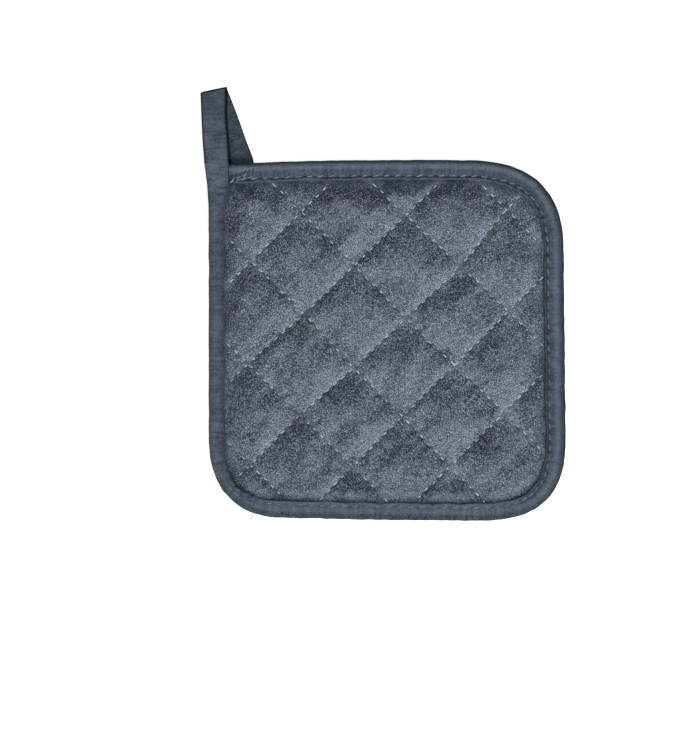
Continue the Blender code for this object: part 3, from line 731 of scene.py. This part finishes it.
front_across, front_heights = limb(front_widths, front_crowns)
back_across, back_heights = limb(back_widths, with_loop(no_bound, no_loop) + 0.1)
fold_across, fold_heights = outer_fold(front_heights[:, -1:], back_heights[:, -1:])
inside_fold = np.minimum(3.0, front_widths - 1.0)[:, None] * np.array([1.0, 0.45, 0.45, 1.0])
inner_across = np.column_stack([back_widths - 0.4, inside_fold, front_widths - 0.4])
inner_heights = cavities[:, None] * np.array([-1.0, -1.0, -0.4, 0.4, 1.0, 1.0])
section_across = np.concatenate([front_across, fold_across, back_across[:, ::-1], inner_across], axis=1)
section_heights = np.concatenate([front_heights, fold_heights, -back_heights[:, ::-1], inner_heights], axis=1)
print(f"{section_across.shape[1]} points across the tape")


# %% Binding tape and loop in one skin
TACK_LINE = np.array([[-75.6, 63.2], [-64.2, 66.4]])


def tack_dent(points):
    """A dent 0.3 mm deep along the row of tack stitches: a Gaussian of the distance to the row."""
    start, way = TACK_LINE[0], TACK_LINE[1] - TACK_LINE[0]
    share = np.clip((points - start) @ way / (way @ way), 0.0, 1.0)
    apart = np.linalg.norm(points - start - share[:, None] * way, axis=1)
    return 0.3 * np.exp(-(apart / 0.8) ** 2)


tape_points = (outer_points[:, None, :] + section_across[:, :, None] * across_ways[:, None, :]
               + section_heights[:, :, None] * out_ways[:, None, :])
on_pad = tape_points[:len(bound)].reshape(-1, 3)
on_pad[:, 2] += lift(on_pad[:, :2]) - tack_dent(on_pad[:, :2]) * (on_pad[:, 2] > EDGE_MIDDLE + CAVITY)
tape_points[:, :, 2] = np.maximum(tape_points[:, :, 2], 0.0)

section_steps = np.linalg.norm(np.diff(tape_points, axis=1), axis=2)
unfolded = np.column_stack([np.zeros(len(tape_run)), np.cumsum(section_steps, axis=1)])
tape_uv = np.stack([np.broadcast_to(tape_run[:, None], unfolded.shape), unfolded], axis=-1).reshape(-1, 2) * MM
around = tape_points.shape[1]
tape_faces = [
    grid_faces(len(tape_run), around, wrap=True),
    np.arange(around)[None, ::-1],
    (len(tape_run) - 1) * around + np.arange(around)[None, :],
]

# %% [markdown]
# Painted shade darkens the tape's outer fold, the loop's fold and sewn edge, the inner edges, the puckers between
# the stitches and the creases of the corners; painted light pales the ridge beside the fold and the folded inner
# edge, most at the top and the right. These marks follow from how far each point is from the fold and from the
# inner edge, so the mesh stores them.

# %% Painted shade and light on the tape
from_seam = np.concatenate([
    front_widths[:, None] - front_across, np.full(fold_across.shape, 9.0),
    (back_widths[:, None] - back_across)[:, ::-1], np.zeros(inner_across.shape),
], axis=1)
# How strongly the painted light and shade act by side: most at the top and the right, 0.8 on the loop.
painted_side_share = with_loop(on_edge(UPPER_RIGHT_SHARE, bound), no_loop + 0.8)
on_left, on_bottom, on_right, on_top = (sewn * with_loop(on_edge(side, bound)) for side in SIDE_SHARES.T)
corners = sewn * with_loop(on_edge(2.0 * np.abs(INWARD.prod(axis=1)), bound) ** 2)
# The width of the painted shade along the outer fold, wider at the top and the right.
dirt_widths = with_loop(0.5 + 1.4 * painted_side_share[:len(bound)], no_loop + 1.0) + 0.9 * on_right
# Painted shade along the loop's fold.
bend = np.exp(-(((loop_at - 8.75) / 0.42) ** 2))


def band(distance, strength, middle, width):
    """A soft line along the tape: strength times exp(-((distance - middle) / width)^2)."""
    strength, middle, width = (np.reshape(value, (-1, 1)) for value in (strength, middle, width))
    return strength * np.exp(-(((distance - middle) / width) ** 2))


# Painted shade: the outer fold's dark outline, the loop's sewn edge, a band inside the left strip, dark lines at
# the inner edges and between the stitches, and crease lines at the corners and the crumpled bottom-left corner.
lines_of_dirt = with_loop(no_bound, bend)[:, None] + sum(band(*line) for line in (
    (section_across, 0.35 + 0.65 * painted_side_share, 0.0, dirt_widths),
    (from_seam, 1.0 - sewn, 0.0, 0.55),
    (from_seam, 0.4 * on_left, 0.0, 1.2),
    (from_seam, 0.55 * (on_top + on_right) + 0.6 * corners * (on_left + on_bottom), 0.95, 0.38),
    (from_seam, 0.5 * puckers * (on_top + on_right + 0.5 * on_bottom + 0.3 * corners), 1.45, 0.45),
    (from_seam, corners * (0.5 + 0.25 * (on_left + on_bottom)), 2.9, 0.35),
    (from_seam, with_loop(0.75 * crumpled), 0.0, 0.7),
))
# Painted light and shade: a painted highlight on the ridge beside the fold and along the folded inner edge (not
# on the left), painted shade over the inner part at the top and the right, the bottom strip lighter inside and
# darker outside, and the left strip, the loop and most of all its second leg a little darker.
rubbed = band(section_across, 0.22 * painted_side_share * sewn, 3.2 + on_right, 1.1)
rubbed += band(from_seam, 0.26 * (1.0 - on_left) * sewn, 0.0, 0.3)
rubbed -= (0.20 * painted_side_share * sewn)[:, None] * smoothstep((section_across - 3.8 - on_right[:, None]) / 1.6)
rubbed += on_bottom[:, None] * (0.40 * smoothstep((section_across - 1.8) / 2.6) - 0.33)
rubbed -= (0.13 * on_left + with_loop(no_bound, 0.22 - 0.12 * leg_1))[:, None]
binding_tape = put_mesh("binding_tape", tape_points.reshape(-1, 3), tape_faces,
                        ["edge_binding", "hanging_loop"], "binding_tape", tape_uv,
                        dirt=np.clip(lines_of_dirt, 0.0, 1.0).ravel(), rubbed=rubbed.ravel())

# %% [markdown]
# ## Thread
# Each stitch that shows is a short length of thread that dives into the cloth at both ends. A curve with a
# bevel could draw one, but there are hundreds, so one formula makes them all: a ring of six points carried
# along a short arched line.

# %% A row of stitches
THREAD_RINGS, THREAD_SIDES = 8, 6


def stitches(name, centres, ways, lengths, thick, surface, rise, shade, outward=1.0):
    """Tubes along arcs: the height over the surface is rise (1 - |2t - 1|^4) - dive |2t - 1|^4 and the radius
    shrinks towards both ends as sqrt(1 - 0.75 |2t - 1|^6). Outward is 1 on the front and -1 on the back."""
    count = len(centres)
    t = np.linspace(0.0, 1.0, THREAD_RINGS)
    ends = np.abs(2.0 * t - 1.0)
    flat = centres[:, None, :] + ((t - 0.5) * lengths[:, None])[:, :, None] * ways[:, None, :]
    arch = np.reshape(rise, (-1, 1)) * (1.0 - ends**4) - 0.75 * thick * ends**4
    height = surface(flat.reshape(-1, 2)).reshape(count, -1) + outward * arch
    line = np.concatenate([flat, height[:, :, None]], axis=2)
    along = unit(np.gradient(line, axis=1))
    sideways = np.stack([-ways[:, 1], ways[:, 0], np.zeros(count)], axis=1)[:, None, :]
    sideways = np.broadcast_to(sideways, line.shape)
    upright = np.cross(along, sideways)
    turns = 2.0 * np.pi * np.arange(THREAD_SIDES) / THREAD_SIDES
    radius = (thick / 2 * np.sqrt(1.0 - 0.75 * ends**6))[None, :, None, None]
    rings = line[:, :, None, :] + radius * (np.cos(turns)[:, None] * sideways[:, :, None, :]
                                            + 0.8 * np.sin(turns)[:, None] * upright[:, :, None, :])
    one = THREAD_RINGS * THREAD_SIDES
    starts = (np.arange(count) * one)[:, None, None]
    skin = grid_faces(THREAD_RINGS, THREAD_SIDES, wrap=True)[None] + starts
    first = np.arange(THREAD_SIDES)[None, None, ::-1] + starts
    last = one - THREAD_SIDES + np.arange(THREAD_SIDES)[None, None, :] + starts
    u = np.broadcast_to((t * lengths[:, None])[:, :, None], (count, THREAD_RINGS, THREAD_SIDES))
    v = np.broadcast_to(turns * thick / 2, u.shape)
    return put_mesh(name, rings.reshape(-1, 3), [skin.reshape(-1, 4), first[:, 0], last[:, 0]],
                    uv=np.stack([u, v], axis=-1).reshape(-1, 2) * MM, shade=np.repeat(shade, one))


random = np.random.default_rng(41)


def drawn(low, high, spots):
    """A random number for each spot."""
    return random.uniform(low, high, len(spots))


# %% [markdown]
# The needle went through all layers, so the quilting shows on both faces: small pale dashes, half sunk in the
# pile, on the terry, and long heavy ones on the silver.

# %% Quilting stitches
def quilting_spots(widths, past):
    """Centres and directions of the stitches: one each 5 mm along every line, where it is past the tape."""
    centres, ways = [], []
    runs = np.arange(-41, 42) * STITCH_PITCH * ROOT_2
    for rising in LINES:
        side = 1.0 if rising else -1.0
        for line in LINES[rising]:
            offsets = offset_at(line, runs)
            climb = offset_at(line, runs + 0.5) - offsets
            centres.append(np.stack([side * (runs - offsets) / 2, (runs + offsets) / 2], axis=1))
            ways.append(np.stack([side * (0.5 - climb), 0.5 + climb], axis=1))
    centres, ways = np.concatenate(centres), unit(np.concatenate(ways))
    keep = past_tape(centres, widths)[0] > past
    keep &= (np.abs(centres[:, 0] - 2.0) < 93.0) & (centres[:, 1] > BOTTOM) & (centres[:, 1] < TOP)
    return centres[keep], ways[keep]


spots, ways = quilting_spots(FRONT_WIDTHS, 1.0)
front_quilting = stitches("quilting_thread_front", spots + random.normal(0.0, 0.12, spots.shape), ways,
                          drawn(1.8, 3.0, spots), 0.55, terry_height, drawn(0.06, 0.5, spots),
                          drawn(0.2, 1.0, spots))
spots, ways = quilting_spots(BACK_WIDTHS, 0.8)
back_quilting = stitches("quilting_thread_back", spots, ways, drawn(3.4, 3.9, spots), 0.95, silver_height, 0.22,
                         drawn(0.5, 1.0, spots), outward=-1.0)


# %% Topstitching on the tape
BACK_FACE = 0.24  # the height of the tape's back over the surface


def topstitch_spots(widths):
    """Centres, directions and places along the edge of the stitches that hold the tape: 1.8 mm inside its inner
    edge, one each 5.5 mm, between the holes that the tape's groove has."""
    at = (np.arange(2, int(tape_ends_at / TOPSTITCH_PITCH) - 1) + 0.5) * TOPSTITCH_PITCH
    centres = on_edge(EDGE, at) + on_edge(INWARD, at) * (on_edge(widths, at) - STITCH_INSET)[:, None]
    keep = (centres[:, 0] > LAP_X + 2.0) | (centres[:, 1] < TOP - 14.0)
    return centres[keep], on_edge(EDGE_TANGENTS, at)[keep], at[keep]


def slanted(ways, degrees):
    """Directions turned anticlockwise by so many degrees."""
    turn = np.radians(degrees)
    x, y = ways.T
    return np.stack([x * np.cos(turn) - y * np.sin(turn), x * np.sin(turn) + y * np.cos(turn)], axis=1)


def tape_top(points):
    """The height of the tape's front: its folded layers and crown, less the dent of the tack stitches."""
    inside, along = edge_place(points)
    share = np.clip(inside / on_edge(FRONT_WIDTHS, along), 0.0, 1.0)
    arch = on_edge(FRONT_CROWNS, along) * np.sin(np.pi * share**0.58)
    return EDGE_MIDDLE + CAVITY + TURNED_UNDER + arch + lift(points) - tack_dent(points)


spots, ways, at = topstitch_spots(FRONT_WIDTHS)
# Painted shade and light by side: stitches on the left strip much darker, those on the right and bottom a little
# darker, those on the top a little lighter.
pale = drawn(0.35, 0.9, spots) + on_edge(SIDE_SHARES, at) @ np.array([-0.8, -0.1, -0.2, 0.1])
front_topstitch = stitches("topstitch_front", spots, slanted(ways, random.normal(10.0, 4.0, len(spots))),
                           drawn(2.4, 3.3, spots), 0.46, tape_top, drawn(-0.2, 0.0, spots),
                           np.clip(pale, 0.0, 1.0))
spots, ways, at = topstitch_spots(BACK_WIDTHS)
back_topstitch = stitches("topstitch_back", spots, ways, drawn(2.9, 3.5, spots), 0.44,
                          lambda points: BACK_FACE + lift(points), 0.02, drawn(0.4, 0.9, spots), outward=-1.0)

# %% [markdown]
# The loop's end is tacked under the corner with a short slanted row of stitches through everything. In front it
# shows as dark dashes across the top strip, and at the back as one row over the tape's end.

# %% Tack stitches
def tack_row(start, end, turns):
    """Centres evenly along a row, one for each turn, and directions turned that much from the row's own."""
    way = unit(np.subtract(end, start))
    return np.linspace(start, end, len(turns)), slanted(np.tile(way, (len(turns), 1)), turns)


dark_row = tack_row(TACK_LINE[0] + (0.7, 0.2), TACK_LINE[1] - (0.4, 0.1), (14.0, 34.0, 22.0, 44.0, 28.0, 52.0))
light_row = tack_row(TACK_LINE[0] + (0.9, -1.5), TACK_LINE[1] + (-4.6, -2.4), (34.0, 12.0, 26.0))
lower_row = tack_row((-75.2, 60.9), (-66.2, 62.9), (22.0, 2.0, 12.0, -2.0))
spots, ways = (np.concatenate(parts) for parts in zip(dark_row, light_row, lower_row))
dark_count = len(dark_row[0])
front_tack = stitches("tack_thread_front", spots, ways, np.full(len(spots), 2.5), 0.7, tape_top, 0.12,
                      np.append(np.zeros(dark_count), drawn(0.5, 0.9, spots[dark_count:])))
spots, ways = tack_row((LEFT + 11.3, TOP - 8.4), (LEFT + 21.6, TOP - 7.7), np.zeros(4))
back_tack = stitches("tack_thread_back", spots, ways, np.full(len(spots), 2.2), 0.40,
                     lambda points: np.full(len(points), BACK_FACE), 0.0, np.full(len(spots), 0.4),
                     outward=-1.0)

# %% [markdown]
# ## Terry pile
# Terry is a field of yarn loops. Here they are short and a little crushed, so they lie over in all directions
# and in patches lean the same way. Hair particles could do it, but a part needs plain meshes: each loop is an
# arched sliver with three sides. Three joined meshes hold them all.

# %% Loops of pile
PILE_PITCH = 0.56
PILE_SPREAD = np.array([0.0, 0.5, 1.0])
SLIVER = np.array([[2, 1, 0], [3, 2, 0], [1, 3, 0], [1, 2, 4], [2, 3, 4], [3, 1, 4]])
SLOPE_STEP = 0.4


def beside_tape(points):
    """Two shares that fade from the tape's inner edge: how far painted shade darkens the pile's colour, which is
    0.6 e^(-d / 0.9) + 0.4 e^(-d / 6), with more at the top and 0.45 e^-d + 0.55 e^(-d / 7) at the bottom, and how
    far the pile stands up beside the bottom strip, e^(-d / 1.2)."""
    past, along = past_tape(points, FRONT_WIDTHS)
    d = np.clip(past, 0.0, None)
    bottom, top = on_edge(BOTTOM_SHARE, along), on_edge(TOP_SHARE, along)
    painted_edge_shade = (1.0 - bottom) * (0.6 * np.exp(-d / 0.9) + 0.4 * np.exp(-d / 6.0)) + 0.5 * top * np.exp(-d / 8.0)
    painted_edge_shade += bottom * (0.45 * np.exp(-d) + 0.55 * np.exp(-d / 7.0))
    return np.clip(painted_edge_shade, 0.0, 1.0), bottom * np.exp(-d / 1.2)


def pile_spots():
    """A staggered grid over the open terry, each spot shaken by up to half a pitch."""
    columns, rows = int(PAD_WIDTH / PILE_PITCH), int(PAD_HEIGHT / (PILE_PITCH * 0.87))
    grid = np.meshgrid(np.arange(columns) * PILE_PITCH, np.arange(rows) * PILE_PITCH * 0.87)
    grid[0][1::2] += PILE_PITCH / 2
    points = np.stack(grid, axis=-1).reshape(-1, 2) + (LEFT, BOTTOM)
    points += random.uniform(-0.5, 0.5, points.shape) * PILE_PITCH
    in_box = np.all((points > (LEFT, BOTTOM)) & (points < (RIGHT, TOP)), axis=1)
    return points[in_box & (past_tape(points, FRONT_WIDTHS)[0] > 0.3)]


def pile_meshes(count):
    """Loops as slivers with three sides and tips at both ends: position = root + way (t - 1/2) length, bent
    sideways, and height over the terry = arch sin(pi t) - 0.15, with the terry's slope along the way."""
    roots = pile_spots()
    painted_edge_shade, standing = beside_tape(roots)
    # Upright is the pile's tone with painted shade and light, and painted shade beside the tape; it also sets how
    # high the loops arch.
    upright = pile_patches(roots) * (1.0 - 0.9 * painted_edge_shade)
    near = from_quilting(roots)
    pressed = np.exp(-near / 1.5) + 0.4 * np.exp(-((near / 0.8) ** 2))
    nap = np.pi * (0.3 * ripples(roots, 26.0, 54) + 0.25 * ripples(roots, 7.0, 55))
    way = nap + random.normal(0.0, 0.9, len(roots))
    ways = np.stack([np.cos(way), np.sin(way)], axis=1)
    lengths = drawn(0.7, 1.25, roots)
    arches = (0.34 + 0.26 * upright) * (1.0 - 0.65 * pressed) * drawn(0.7, 1.25, roots) + 0.8 * standing
    thick = drawn(0.34, 0.50, roots)
    ground_height = terry_height(roots)
    steps = SLOPE_STEP * np.eye(2)
    slopes = np.stack([terry_height(roots + step) - ground_height for step in steps], axis=1) / SLOPE_STEP
    bend = drawn(-0.25, 0.25, roots)[:, None] * np.sin(np.pi * PILE_SPREAD)
    sideways = np.stack([-ways[:, 1], ways[:, 0]], axis=1)
    flat = roots[:, None, :] + ((PILE_SPREAD - 0.5) * lengths[:, None])[:, :, None] * ways[:, None, :]
    flat += bend[:, :, None] * sideways[:, None, :]
    rise = np.einsum("ijk,ik->ij", flat - roots[:, None, :], slopes)
    height = ground_height[:, None] + rise + arches[:, None] * np.sin(np.pi * PILE_SPREAD) - 0.15
    line = np.concatenate([flat, height[:, :, None]], axis=2)
    turns = np.radians([90.0, 210.0, 330.0])
    out = np.column_stack([sideways, np.zeros(len(roots))])[:, None, :] * np.cos(turns)[:, None]
    up = np.array([0.0, 0.0, 1.0]) * np.sin(turns)[:, None]
    ring = line[:, 1:2] + (out + up) * thick[:, None, None] / 2
    points = np.concatenate([line[:, :1], ring, line[:, 2:]], axis=1)
    # Each loop's own random shade, darkened by the painted shade beside the tape.
    shade = random.beta(0.7, 1.1, len(roots)) * (1.0 - 0.7 * painted_edge_shade)
    made = []
    for k, part in enumerate(np.array_split(np.arange(len(roots)), count)):
        faces = SLIVER + 5 * np.arange(len(part))[:, None, None]
        made.append(put_mesh(f"terry_pile_{k + 1}", points[part].reshape(-1, 3), [faces.reshape(-1, 3)],
                             slot="terry", patch=np.repeat(upright[part], 5), shade=np.repeat(shade[part], 5)))
    return made


terry_pile = pile_meshes(3)

# %% [markdown]
# ## Finishes
# A material is a tree of nodes. A small class lets sums on its values be written as Python, and one method adds
# any other node. Constants go straight onto the shader.

# %% Writing materials as sums
class Value:
    """One output in a material's tree, with the sums used below. Each sum adds a Math node."""

    def __init__(self, finish, socket):
        self.finish, self.socket = finish, socket

    def sum(self, operation, first, second=0.0):
        return self.finish.node("ShaderNodeMath", {"operation": operation}, {0: first, 1: second})

    def __add__(self, other):
        return self.sum("ADD", self, other)

    def __radd__(self, other):
        return self.sum("ADD", other, self)

    def __sub__(self, other):
        return self.sum("SUBTRACT", self, other)

    def __rsub__(self, other):
        return self.sum("SUBTRACT", other, self)

    def __mul__(self, other):
        return self.sum("MULTIPLY", self, other)

    def __rmul__(self, other):
        return self.sum("MULTIPLY", other, self)

    def sine(self):
        return self.sum("SINE", self)


class Finish:
    """A material and its Principled shader, whose constants are given by name."""

    def __init__(self, name, **constants):
        self.material = bpy.data.materials.new(name)
        self.material.use_nodes = True
        self.tree = self.material.node_tree
        self.shader = self.tree.nodes["Principled BSDF"]
        for key, value in constants.items():
            self.shader.inputs[key.replace("_", " ")].default_value = value

    def node(self, kind, settings=None, sockets=None, output=0):
        """A node: its settings first, then its sockets' values or links."""
        made = self.tree.nodes.new(kind)
        for key, value in (settings or {}).items():
            setattr(made, key, value)
        for key, value in (sockets or {}).items():
            self.put(made.inputs[key], value)
        return Value(self, made.outputs[output])

    def put(self, socket, value):
        if isinstance(value, Value):
            self.tree.links.new(value.socket, socket)
        else:
            socket.default_value = value

    def place(self):
        """Object coordinates, in metres."""
        return self.node("ShaderNodeTexCoord", output="Object")

    def cloth_place(self):
        """The piece's own UV map, in metres along and across the cloth."""
        return self.node("ShaderNodeUVMap", {"uv_map": "UVMap"})

    def along_cloth(self):
        """The same as two values."""
        split = self.node("ShaderNodeSeparateXYZ", sockets={0: self.cloth_place()}).socket.node
        return Value(self, split.outputs["X"]), Value(self, split.outputs["Y"])

    def stored(self, name):
        """A value that the mesh keeps at its points."""
        return self.node("ShaderNodeAttribute", {"attribute_name": name}, output="Fac")

    def noise(self, scale, detail=2.0, roughness=0.5, vector=None, stretch=None):
        """Noise from 0 to 1 with about so many features a metre, stretched along the axes if asked."""
        vector = vector or self.place()
        if stretch:
            vector = self.node("ShaderNodeVectorMath", {"operation": "MULTIPLY"}, {0: vector, 1: stretch})
        return self.node("ShaderNodeTexNoise", None,
                         {"Vector": vector, "Scale": scale, "Detail": detail, "Roughness": roughness}, "Fac")

    def between(self, share, first, second):
        """A colour from first to second by a share."""
        return self.node("ShaderNodeMix", {"data_type": "RGBA"}, {0: share, 6: first, 7: second}, 2)

    def shaped(self, value, low, high, to_low=0.0, to_high=1.0):
        """A value moved from one range to another and clamped to it."""
        sockets = {"Value": value, "From Min": low, "From Max": high, "To Min": to_low, "To Max": to_high}
        return self.node("ShaderNodeMapRange", None, sockets)

    def bumps(self, *layers):
        """Bump nodes one over the other: each layer is a height from 0 to 1 and its depth in millimetres."""
        normal = None
        for height, depth in layers:
            sockets = {"Height": height, "Distance": depth * MM, "Strength": 1.0}
            if normal:
                sockets["Normal"] = normal
            normal = self.node("ShaderNodeBump", None, sockets)
        self.put(self.shader.inputs["Normal"], normal)

    def colour(self, value):
        self.put(self.shader.inputs["Base Color"], value)

    def onto(self, *pieces):
        for piece in pieces:
            piece.data.materials.clear()
            piece.data.materials.append(self.material)


# %% Terry and its pile
def grey(red, green, blue):
    """A colour from the 0 to 255 values that a colour card shows, made linear: ((c + 0.055) / 1.055)^2.4."""
    return tuple(((c / 255 + 0.055) / 1.055) ** 2.4 for c in (red, green, blue)) + (1.0,)


ground = Finish("crushed_terry", Roughness=0.95, Specular_IOR_Level=0.15)
speck = ground.noise(1500.0, 2.0, 0.6)
# The stored patch is the terry's crushed tone with painted shade and light on the puffs' slopes.
share = ground.stored("patch") * 0.6 + ground.shaped(speck, 0.35, 0.65) * 0.4
ground.colour(ground.between(share, grey(29, 32, 40), grey(106, 115, 128)))
ground.bumps((speck, 0.35), (ground.noise(600.0, 2.0), 0.4))
ground.onto(terry_cloth)

yarn = Finish("terry_loops", Roughness=0.9, Specular_IOR_Level=0.15)
glints = yarn.shaped(yarn.noise(2600.0, 1.0), 0.38, 0.62)
# The stored patch and shade carry painted shade and light besides the loops' own tone.
share = yarn.stored("patch") * 0.46 + yarn.stored("shade") * 0.88 + glints * 0.32 - 0.30
yarn.colour(yarn.between(share, grey(45, 49, 61), grey(215, 228, 243)))
yarn.bumps((yarn.noise(3200.0, 1.0), 0.06))
yarn.onto(*terry_pile)

# %% Silver cloth
silver = Finish("silver_coating", Metallic=0.35, Roughness=0.42)
streaks = silver.noise(2400.0, 2.0, 0.6, stretch=(1.0, 0.12, 1.0))
clouds = silver.noise(60.0, 3.0)
share = silver.shaped(streaks, 0.3, 0.7) * 0.5 + silver.shaped(clouds, 0.35, 0.65) * 0.5
# Painted shade darkens the silver in the quilted valleys and along the tape.
unshaded_silver = silver.between(share, grey(186, 198, 209), grey(218, 225, 232))
silver.colour(silver.between(silver.stored("channel") * 0.75, unshaded_silver, grey(132, 149, 162)))
silver.bumps((streaks, 0.05), (silver.noise(2000.0, 1.0, stretch=(0.15, 1.0, 1.0)), 0.03))
silver.onto(silver_cloth)

# %% Tape
tape = Finish("binding_cotton", Roughness=0.88, Specular_IOR_Level=0.15)
along, across = tape.along_cloth()
THREADS_A_METRE = 2400.0
weave = (along * (math.pi * THREADS_A_METRE)).sine() * (across * (math.pi * THREADS_A_METRE)).sine()
raised = weave * 0.5 + 0.5
slubs = tape.noise(700.0, 2.0, 0.6, vector=tape.cloth_place(), stretch=(1.0, 0.18, 1.0))
mottle = tape.noise(160.0, 3.0, 0.6)
grain = tape.noise(1500.0, 2.0, 0.6)
share = tape.shaped(slubs, 0.35, 0.65) * 0.25 + tape.shaped(mottle, 0.3, 0.7) * 0.25
# The stored painted light and shade move the cloth between its dark and light colours.
share = share + tape.shaped(grain, 0.35, 0.65) * 0.35 + raised * 0.15 + tape.stored("rubbed")
cloth = tape.between(share, grey(35, 44, 52), grey(98, 110, 123))
# The stored painted shade mixes the cloth towards near black.
tape.colour(tape.between(tape.stored("dirt"), cloth, grey(14, 17, 21)))
tape.bumps((raised, 0.05), (slubs, 0.08), (mottle, 0.25))
tape.onto(binding_tape)

# %% Threads and wadding
TWIST_ALONG, TWIST_ROUND = 6500.0, 5000.0  # radians a metre


def thread_finish(name, dark, light):
    """Two plies twisted round each other: stripes that climb along the thread, u / pitch + v / round."""
    finish = Finish(name, Roughness=0.7, Specular_IOR_Level=0.3)
    along, across = finish.along_cloth()
    twist = (along * TWIST_ALONG + across * TWIST_ROUND).sine() * 0.5 + 0.5
    finish.colour(finish.between(finish.stored("shade") * 0.8 + twist * 0.2, dark, light))
    finish.bumps((twist, 0.05))
    return finish


THREADS = (
    ("pale_quilting_thread", (120, 130, 142), (204, 212, 222), [front_quilting]),
    ("silver_quilting_thread", (190, 206, 216), (224, 234, 242), [back_quilting]),
    ("grey_topstitch_thread", (60, 69, 80), (138, 148, 160), [front_topstitch, back_topstitch]),
    ("dark_tack_thread", (12, 15, 20), (136, 146, 158), [front_tack, back_tack]),
)
for thread_name, dark, light, pieces in THREADS:
    thread_finish(thread_name, grey(*dark), grey(*light)).onto(*pieces)

fluff = Finish("white_wadding", Roughness=1.0)
fluff.colour(fluff.between(fluff.noise(400.0, 3.0), grey(215, 215, 212), grey(238, 238, 235)))
fluff.onto(wadding)

# %% [markdown]
# ## Studio
# The pad lies on a plain white table and is seen straight from above. A soft lamp at the lower right brings
# out the quilting, and an even white sky fills the shadows.

# %% Table
bpy.ops.mesh.primitive_plane_add(size=6.0, location=(0.0, 0.0, -0.0001))
table_top = bpy.context.object
table_top.name = "white_table"
table_top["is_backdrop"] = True
paper = Finish("white_table_top", Roughness=0.9, Emission_Color=(1.0, 1.0, 1.0, 1.0), Emission_Strength=0.6)
paper.colour(grey(250, 250, 250))
paper.onto(table_top)

# %% Light and camera
scene = bpy.context.scene
scene.view_settings.view_transform = "Standard"
sky = bpy.data.worlds.new("white_sky")
sky.use_nodes = True
sky.node_tree.nodes["Background"].inputs["Color"].default_value = (1.0, 1.0, 1.0, 1.0)
sky.node_tree.nodes["Background"].inputs["Strength"].default_value = 0.62
scene.world = sky


def soft_lamp(name, azimuth, elevation, distance, size, watts):
    """A square lamp that looks at the pad's middle from a direction: azimuth 0 is +X, turning to +Y."""
    lamp = bpy.data.lights.new(name, "AREA")
    lamp.size, lamp.energy = size, watts
    a, e = math.radians(azimuth), math.radians(elevation)
    made = bpy.data.objects.new(name, lamp)
    reach = distance * math.cos(e)
    made.location = (reach * math.cos(a), reach * math.sin(a), distance * math.sin(e))
    made.rotation_euler = (math.pi / 2 - e, 0.0, a + math.pi / 2)
    scene.collection.objects.link(made)


soft_lamp("key_lamp", azimuth=-58.0, elevation=42.0, distance=3.0, size=1.2, watts=80.0)

camera_data = bpy.data.cameras.new("camera")
camera_data.lens, camera_data.sensor_width = 100.0, 36.0
camera = bpy.data.objects.new("camera", camera_data)
camera.location = (-0.02170, -0.03302, 1.0287)
scene.collection.objects.link(camera)
scene.camera = camera

# %% Sizes and the end
dressed_low, dressed_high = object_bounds()
say_reach("the finished cloths", dressed_low, dressed_high)
